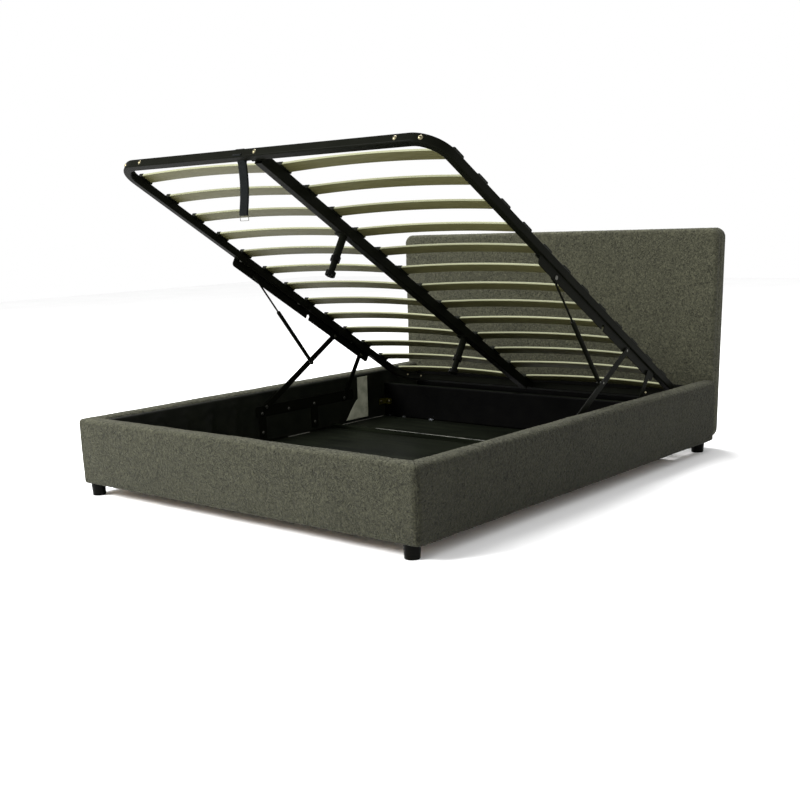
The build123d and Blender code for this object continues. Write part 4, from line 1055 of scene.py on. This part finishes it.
def makeHeadboard():
    wide, low, high, step = (headboard[k] for k in ("halfWidth", "low", "high", "step"))
    edge, seed = headboard["edge"], headboard["seed"]
    columns, rows = int(2 * wide / step) + 1, int((high - low) / step) + 1
    gx, gz = np.meshgrid(np.linspace(-wide, wide, columns), np.linspace(low, high, rows))
    x, z, _, gap = headboardCorners(gx.ravel(), gz.ravel())
    fall = np.clip(edge - gap, 0, edge)
    y = edge - np.sqrt(np.maximum(edge ** 2 - fall ** 2, 0))
    loose = np.clip((z - headboard["flatTo"]) / headboard["flatFade"], 0, 1)  # held flat behind the box
    swell = headboard["swell"] * np.clip(gap / headboard["swellReach"], 0, 1) ** 0.5 * loose
    front = np.stack([x, bed["headY"] + y - swell * (gap > edge), z], 1)
    rimShare = (fall / edge)[:, None]
    away = np.array([0, -1, 0]) * (1 - rimShare) + headboardCorners(x, z)[2] * rimShare
    lift = tufts(front, seed) + railCover["unevenness"] * waves(front, headboard["waveLength"], seed)
    flatPile = railCover["tuftHeight"] * headboard["flatPileShare"]
    front += away * (lift * loose - flatPile * (1 - loose))[:, None]
    points, faces, rim = [front], gridFaces(rows, columns), gridRim(rows, columns)
    rx, rz = x[rim], z[rim]
    normal = headboardCorners(rx, rz)[2]

    rings = [rim]

    def addRing(y, inset, pile=0.0):
        # One more ring round the headboard's side, joined to the ring before it.
        ring = np.stack([rx, np.full(len(rx), y), rz], 1) - normal * inset
        if pile:
            ring += normal * (tufts(ring, seed) * pile)[:, None]
        first = sum(len(p) for p in points)
        rings.append(range(first, first + len(rx)))
        faces.extend(bandFaces(rings[-2], rings[-1]))
        points.append(ring)

    thickness, margin, board = bed["backY"] - bed["headY"], headboard["margin"], bed["boardThickness"]
    for depth in np.arange(edge + step, thickness - headboard["backEdge"], step * headboard["sideStepShare"]):
        seamShare = math.exp(-((depth - headboard["seamAt"]) / headboard["seamWidth"]) ** 2)
        addRing(bed["headY"] + depth, headboard["seamDepth"] * seamShare, 1 - seamShare)
    for inset, back in (headboard["backRound"], (margin, 0), (margin, board)):
        addRing(bed["backY"] - back, inset)
    last, centre = rings[-1], rings[-1][-1] + 1
    points.append(np.array([[0, bed["backY"] - board, (low + high) / 2]]))
    faces += [(last[i], last[(i + 1) % len(last)], centre) for i in range(len(last))]
    made = fixNormals(makeObject("headboardPad", np.concatenate(points), faces, finishes["headCloth"]))
    enter(made, "bed", "headboard_cover")


# The thin black cloth over the back of the headboard
backCover = {
    "inset": 0.0063,
    "corner": 0.03,
    "columns": 120,
    "rows": 70,
    "ripple": 0.0005,
    "rippleLength": 0.12,
    "off": 0.0009,
    "thickness": 0.0006,
    "seed": 15,
}


def makeBackCloth():
    inset, size = backCover["inset"], (backCover["rows"], backCover["columns"])
    wide, low, high = headboard["halfWidth"] - inset, headboard["low"] + inset, headboard["high"] - inset
    tall, middle = (high - low) / 2, (low + high) / 2
    gx, gz = np.meshgrid(np.linspace(-wide, wide, size[1]), np.linspace(-tall, tall, size[0]))
    x, z, _, _ = roundCorners(gx.ravel(), gz.ravel(), wide, tall, backCover["corner"])
    flat = np.stack([x, np.zeros(len(x)), z + middle], 1)
    ripple = backCover["ripple"] * (1 + waves(flat, backCover["rippleLength"], backCover["seed"]))
    flat[:, 1] = bed["backY"] + backCover["off"] + ripple
    grid = flat.reshape(*size, 3)
    cloth = shell("headboardBackCloth", grid, grid - (0, backCover["thickness"], 0), finishes["lining_cloth"])
    enter(cloth, "bed")


# Cloth lining of the box
liningFolds = {
    "innerX": 0.800,
    "pitch": 0.145,
    "width": 0.070,
    "deep": 0.0085,
    "shallow": 0.0052,
    "footMost": 0.0046,
    "tubeMost": 0.0040,
    "tubeLow": 0.238,
    "belowTube": 0.01,
    "rest": 0.0012,
    "calm": 0.0010,
    "plateStart": 0.905,
    "cloth": 0.0006,
    "cell": 0.008,
    "climb": 0.014,
    "lean": 0.0026,
    "hemLift": 0.0012,
    "offPad": 0.0004,
    "gap": 0.0004,
    "endGaps": 0.001,
    "crease": 0.0009,
    "creaseLength": 0.05,
    "creaseStretch": 2.4,
    "sway": 0.02,
    "swayPitch": 9,
    "tiltMost": 0.12,
    "tiltFrom": 0.18,
    "narrowShares": (0.28, 0.42),
    "tallShares": (0.7, 1),
    "hemFade": 0.03,
    "floorFade": 0.02,
    "floorShare": 0.3,
    "plateFade": 0.05,
    "cornerFade": 0.08,
}
wallCloths = {"rows": 28, "off": 0.0012, "ripple": 0.0003, "rippleLength": 0.16}


def foldDepth(along, height, span, smoothFrom, smoothTo, seed):
    # How far the lining stands off its board.
    folds, rest, fade = liningFolds, liningFolds["rest"], liningFolds["plateFade"]
    depth = np.full(along.shape, rest)
    sway = folds["sway"] * np.sin(height * folds["swayPitch"] + seed)
    rng = np.random.default_rng(seed)
    for i in range(int(span / folds["pitch"]) + 1):
        centre = folds["pitch"] * (i + 0.5) + folds["width"] / 2
        tall = folds["deep"] if i % 2 else folds["shallow"]
        tilt = rng.uniform(-folds["tiltMost"], folds["tiltMost"])
        narrow = folds["width"] * rng.uniform(*folds["narrowShares"])
        gap = (along + sway + tilt * (height - folds["tiltFrom"]) - centre) / narrow
        depth = depth + (tall - rest) * np.exp(-gap * gap) * rng.uniform(*folds["tallShares"])
    creases = wavesOnGrid(along, height, folds["creaseLength"], seed + 3, folds["creaseStretch"])
    depth = depth + folds["crease"] * (1 + creases)
    hem = np.clip((bed["boardTop"] - height) / folds["hemFade"], 0, 1)
    hem = hem * np.clip((height - bed["floorTop"]) / folds["floorFade"], folds["floorShare"], 1)
    near = np.clip((along - smoothFrom + fade) / fade, 0, 1) * np.clip((smoothTo + fade - along) / fade, 0, 1)
    free = folds["calm"] + (depth - folds["calm"]) * hem * (1 - near)
    beside = np.clip((height - folds["tubeLow"]) / folds["hemFade"] + 1, 0, 1)  # room for the lowered tubes
    return np.minimum(free, folds["tubeMost"] + (1 - beside) * folds["belowTube"])


def overHem(depth, height):
    # The depth with the hem laid back where it runs up the inner side of the rail's crown.
    above = height - bed["boardTop"]
    lean = liningFolds["lean"] * np.clip(above / liningFolds["climb"], 0, 1) ** 2
    return depth - lean + liningFolds["hemLift"] * (above > 0)


def liningGrid(start, end, low, high, rows=None):
    # The two distances over a lining, in cells of the named size or in a given number of rows.
    cell = liningFolds["cell"]
    rows = rows or int((high - low) / cell)
    return np.meshgrid(np.linspace(start, end, int((end - start) / cell)), np.linspace(low, high, rows))


def makeLinings():
    low, high = bed["floorTop"] + liningFolds["gap"], bed["boardTop"] + liningFolds["climb"]
    innerX, cloth, rest = liningFolds["innerX"], liningFolds["cloth"], liningFolds["rest"]
    sideStart, sideEnd = (corner[1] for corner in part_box("lining_side_left"))
    side, plate = sideEnd - sideStart, liningFolds["plateStart"] - bed["railThickness"]
    along, height = liningGrid(0, side, low, high)
    for name, sign, node, board, seed in (
        ("leftLining", -1, "lining_side_left", "side_rail_board_left", 21),
        ("rightLining", 1, "lining_side_right", "side_rail_board_right", 22),
    ):
        depth = overHem(foldDepth(along, height, plate, plate, side, seed), height)
        front = np.stack([sign * (innerX - depth), sideStart + along, height], 2)
        hangLining(name, front, front + (sign * cloth, 0, 0), node)
    span = 2 * innerX - liningFolds["endGaps"]
    along, height = liningGrid(0, span, low, high)
    depth = foldDepth(along, height, span, span + 1, span + 2, 23)
    corner = np.clip(np.minimum(along, span - along) / liningFolds["cornerFade"], 0, 1)
    depth = np.minimum(rest + (depth - rest) * corner, liningFolds["footMost"])
    front = np.stack([along - span / 2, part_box("lining_foot")[0][1] + overHem(depth, height), height], 2)
    back = front - (0, cloth, 0)
    hangLining("footLining", front, back, "lining_foot")
    between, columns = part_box("lining_head"), along.shape[1]
    left, right = between[0][0] + liningFolds["gap"], between[1][0] - liningFolds["gap"]
    wallTop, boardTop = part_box("head_rail")[1][2], between[1][2]
    for name, face, top, node, board, seed in (
        ("headLining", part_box("head_rail")[0][1], wallTop, "lining_head", "head_rail", 24),
        # a black sheet over the headboard's front inside the box, standing in for the shade there
        ("headboardLining", bed["headY"] - liningFolds["offPad"], boardTop, None, "headboard_board", 25),
    ):
        up = np.linspace(low, top, wallCloths["rows"])
        across, height = np.meshgrid(np.linspace(left, right, columns), up)
        ripple = wallCloths["ripple"] * wavesOnGrid(across, height, wallCloths["rippleLength"], seed)
        front = np.stack([across, face - wallCloths["off"] - np.abs(ripple), height], 2)
        back = front + (0, cloth / 2, 0)
        # these wall cloths take the darker copy of the lining cloth, painted shade
        hangLining(name, front, back, node, "wallCloth")


def hangLining(name, front, back, node, finish="lining_cloth"):
    cloth = shell(name, front, back, finishes[finish])
    enter(cloth, "bed", node)


# Bar across the floor of the box, and pale lines along the board edges, painted highlights
jointBar = {
    "halfLength": 0.798,
    "rise": 0.017,
    "round": 0.003,
    "rubbedShare": 0.3,  # how deep the painted highlight line lies in the round of the bar
    "edgeRadius": 0.0016,
    "edgeStart": -0.52,
    "edgeGap": 0.002,
    "sideRuns": ((1.10, 1.24), (1.45, 1.79)),  # where the painted highlight along the board's left edge runs, from the foot end
    "sideGap": 0.007,
    "sideRadius": 0.0024,
    "sideRise": 0.4,
    "roundPoints": 5,
    "stations": 60,
    "edgeStations": 40,
    "sideStations": 20,
}


def makeJointBar():
    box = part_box("floor_divider")
    nearY, farY, low = box[0][1], box[1][1], box[0][2]
    half, wire, r = jointBar["halfLength"], jointBar["edgeRadius"], jointBar["round"]
    top = bed["floorTop"] + jointBar["rise"]
    turns, highlightInset = np.linspace(0, math.pi / 2, jointBar["roundPoints"]), r * jointBar["rubbedShare"]
    section = [(nearY, low), (farY, low)]
    section += [(farY - r + r * math.sin(a), top - r + r * math.cos(a)) for a in reversed(turns)]
    section += [(nearY + r - r * math.sin(a), top - r + r * math.cos(a)) for a in turns]
    stations = np.linspace(-half, half, jointBar["stations"])
    bar = extrusion("floorJointBar", section, stations, finishes["barBoard"])
    enter(bar, "bed", "floor_divider")
    # a pale wire set into the bar's top round: a painted highlight
    ring = circle(wire, farY - highlightInset, top - highlightInset)
    stations = np.linspace(jointBar["edgeStart"], half - jointBar["edgeGap"], jointBar["edgeStations"])
    enter(extrusion("rubbedEdge", ring, stations, finishes["rubbedEdge"]), "bed")
    # pale wires along the board's left edge: painted highlights
    wire, x = jointBar["sideRadius"], jointBar["sideGap"] - liningFolds["innerX"]
    ring = circle(wire, x, bed["floorTop"] + jointBar["sideRise"] * wire)
    for k, (start, end) in enumerate(jointBar["sideRuns"]):
        stations = np.linspace(start, end, jointBar["sideStations"]) + bed["footY"]
        edge = extrusion("rubbedSide" + str(k + 1), ring, stations, finishes["rubbedEdge"], lengthways=True)
        enter(edge, "bed")


# Strip of pale backing cloth that hangs over the left lining and spreads towards the floor
backingStrip = {
    "fromY": 1.6065,
    "toY": 1.6815,
    "footY": 1.5125,
    "footIn": 0.004,
    "stepZ": 0.181,
    "low": 0.083,
    "top": 0.2875,
    "off": 0.0021,
    "thickness": 0.0007,
    "bulge": 0.005,
    "spreadPower": 0.8,
    "ripples": ((9, 1.5), (4, -3), 0.6),  # two slow waves, across and up, and how tall the second is
    "looseRate": 2.5,  # how fast the strip comes loose below its middle
    "heldShare": 0.02,
    "columns": 40,
    "rows": 66,
}


def makeBackingStrip():
    low, high, step = backingStrip["low"], backingStrip["top"], backingStrip["stepZ"]
    fromY, toY, footY = backingStrip["fromY"], backingStrip["toY"], backingStrip["footY"]
    across = np.linspace(0, 1, backingStrip["columns"])
    across, up = np.meshgrid(across, np.linspace(0, 1, backingStrip["rows"]))
    z = low + (high - low) * up
    spread = np.clip((step - z) / (step - low), 0, 1)
    nearEdge = fromY - (fromY - footY) * spread ** backingStrip["spreadPower"]
    farEdge = toY - backingStrip["footIn"] * spread
    y = nearEdge + (farEdge - nearEdge) * across + bed["footY"]
    (a, b), (c, d), second = backingStrip["ripples"]
    ripple = np.sin(across * a + up * b) * (1 - up) + second * np.sin(across * c + up * d)
    loose = np.clip((0.5 - up) * backingStrip["looseRate"], backingStrip["heldShare"], 1)
    bulge = backingStrip["bulge"] * 0.5 * (1 + ripple / (1 + second)) * loose
    front = np.stack([backingStrip["off"] + bulge - liningFolds["innerX"], y, z], 2)
    back = front - (backingStrip["thickness"], 0, 0)
    strip = shell("backingStrip", front, back, finishes["backing_cloth"])
    enter(strip, "bed", "cloth_patch")


# Pull strap
strap = {
    "x": -0.088,
    "lean": 0.007,
    "width": 0.042,
    "thickness": 0.0015,
    "drop": 0.182,
    "corner": 0.005,
    "ringWire": 0.0016,
    "sway": 0.009,
    "offTube": 0.0003,
    "offCorner": 0.0002,
    "halfGap": 0.0001,
    "endGap": 0.006,
    "eyeShare": 1.2,
    "joinHeight": 0.0015,
    "leanPower": 1.5,
    "roundPoints": 7,
    "dropPoints": 24,
    "eyePoints": 9,
    "columns": 7,
}


def makeStrap():
    half, r = bed["tube"] / 2 + strap["offTube"], strap["corner"] + strap["offCorner"]
    sMid, nMid = bed["platformLength"] - bed["tube"] / 2, bed["tube"] / 2
    lowest = onPlatform(0, sMid - half + r, nMid - half + r)
    gap = strap["thickness"] / 2 + strap["halfGap"]
    loop = []
    # round the tube from its lowest corner, towards the foot side, over the top and back
    for cs, cn, first in ((-1, -1, 180), (1, -1, 90), (1, 1, 0), (-1, 1, -90)):
        for a in np.linspace(first, first - 90, strap["roundPoints"]):
            way = math.radians(a)
            loop.append((cs * (half - r) + r * math.sin(way), cn * (half - r) + r * math.cos(way)))
    around = [onPlatform(0, sMid + ds, nMid + dn)[1:] for ds, dn in loop]
    lowY, top = lowest[1], lowest[2] - r
    start = min(range(len(around)), key=lambda i: around[i][1])
    around = [p for p in around[start:] + around[:start] if p[1] > top + strap["joinHeight"]]
    wire, bottom = strap["ringWire"] / 2 + strap["offTube"], top - strap["drop"]
    down = top - strap["endGap"] - np.linspace(0, strap["drop"] - 2 * strap["endGap"], strap["dropPoints"])
    turns = np.linspace(0, -math.pi, strap["eyePoints"])
    eye = [(lowY + wire * math.cos(a) * strap["eyeShare"], bottom + wire * math.sin(a)) for a in turns]
    path = [(lowY + gap, z) for z in down] + eye + [(lowY - gap, z) for z in reversed(down)]
    path = np.array(around + path)
    path[:, 0] += strap["sway"] * np.sin(np.clip((lowest[2] - path[:, 1]) / strap["drop"], 0, 1) * math.pi)
    sweepStrap(path)


def sweepStrap(path):
    # Webbing of the named thickness outside a closed path, woven along its length.
    normal, following = -sideNormals(path), np.roll(path, -1, 0)
    if np.sum(path[:, 0] * following[:, 1] - following[:, 0] * path[:, 1]) < 0:
        normal = -normal
    outside = path + normal * strap["thickness"]
    across = np.linspace(-strap["width"] / 2, strap["width"] / 2, strap["columns"])
    count, n, low = len(path), len(across), path[:, 1].min()
    corners = []
    for y, z in np.concatenate([path, outside]):
        raised = min(max((z - low) / strap["drop"], 0), 1)
        middle = strap["x"] + strap["lean"] * raised ** strap["leanPower"]
        corners += [(middle + x, y, z) for x in across]
    faces = []
    for i in range(count):
        a, b = i * n, (i + 1) % count * n
        over = count * n
        for k in range(n - 1):
            faces.append((a + k, a + k + 1, b + k + 1, b + k))
            faces.append((over + b + k, over + b + k + 1, over + a + k + 1, over + a + k))
        faces.append((a, b, over + b, over + a))
        a, b = a + n - 1, b + n - 1
        faces.append((b, a, over + a, over + b))
    made = makeObject("pullStrap", corners, faces, finishes["webbing"])
    run = np.concatenate([[0], np.cumsum(np.linalg.norm(np.diff(path, axis=0), axis=1))])
    layer = made.data.uv_layers.new(name="weave")
    for loop in made.data.loops:
        index = loop.vertex_index % (count * n)
        layer.data[loop.index].uv = (across[index % n], run[index // n])
    enter(made, "platform", "pull_strap")


# Finishes by the material slots of the CAD, and those of single pieces
finishes = {
    # three copies of the teddy cloth, made paler or darker by painted light and shade for the way each side
    # faces the lamps
    "upholstery": teddyCloth("foot"),
    "sideCloth": teddyCloth("side"),
    "headCloth": teddyCloth("head"),
    "timber": rawTimber(srgb(122, 98, 64), srgb(176, 150, 108)),
    "lining_cloth": nonWoven("liningCloth", srgb(11, 13, 8), srgb(23, 25, 17), gloss=0.16, roughness=0.42),
    # a darker copy of the lining cloth: painted shade on the head wall and on the sheet over the headboard's
    # front
    "wallCloth": nonWoven("wallCloth", srgb(2, 2, 2), srgb(5, 5, 4), gloss=0.03, roughness=0.5),
    "backing_cloth": knitBacking(srgb(158, 160, 138), srgb(202, 204, 182)),
    "floor_board": facedBoard("facedBoard", srgb(9, 11, 7), srgb(14, 16, 11), gloss=0.012),
    "barBoard": facedBoard("barBoard", srgb(9, 11, 7), srgb(14, 16, 11), gloss=0.0),
    # pale paint of the edge lines, painted highlights
    "rubbedEdge": edgeHighlightPaint(srgb(52, 52, 48), srgb(128, 128, 118)),
    "black_steel": powderCoat(srgb(10, 11, 7), srgb(15, 16, 11)),
    "zinc_steel": zincPlate("paleZinc", srgb(98, 92, 68), srgb(120, 114, 92), srgb(110, 101, 88)),
    "dullZinc": zincPlate("dullZinc", srgb(60, 60, 56), srgb(86, 86, 80), srgb(74, 72, 68)),
    "oliveZinc": zincPlate("oliveZinc", srgb(92, 90, 24), srgb(120, 118, 44), srgb(104, 96, 40)),
    "rod_steel": groundSteel(srgb(130, 132, 136), srgb(180, 182, 186), lean=math.radians(38.8)),
    "slat_wood": birchPly(),
    "black_plastic": mouldedPlastic("mouldedPlastic", srgb(4, 4, 3), srgb(8, 8, 6), roughness=0.22),
    "holderPlastic": mouldedPlastic("holderPlastic", srgb(13, 15, 10), srgb(22, 24, 17), roughness=0.55),
    "webbing": webbingWeave(srgb(4, 6, 6), srgb(14, 18, 18)),
}

# Nodes whose steel is finished differently from the rest of their slot
ownFinish = {
    "strap_ring": "dullZinc",
    "strut_rod_left": "black_steel",
    "strut_rod_right": "black_steel",
    "corner_brackets": "oliveZinc",
    "lift_base_plate_bolts": "dullZinc",
    "base_pivot_pins": "dullZinc",
    "platform_pivot_pins": "dullZinc",
    "upper_rail_bolts": "dullZinc",
    "front_arm_stud_left": "dullZinc",
    "front_arm_stud_right": "dullZinc",
}


def dressNodes():
    slots = {s["node"]: s["material_slot"] for s in frame["record"]["subparts"]}
    for node, piece in frame["nodes"].items():
        piece.data.materials.clear()
        piece.data.materials.append(finishes[ownFinish.get(node, slots[node])])


placeCamera()
placeLights()
placeFloor()
print("studio set")
dressNodes()
print("CAD nodes dressed")
makeRails()
print("rails padded")
makeHeadboard()
makeBackCloth()
print("headboard padded")
makeLinings()
makeBackingStrip()
makeJointBar()
print("box lined")
makeSlats()
makeHolders()
print("slats grown in their holders")
makeStaples()
print("back cloth stapled")
makeStrap()
print("strap made")
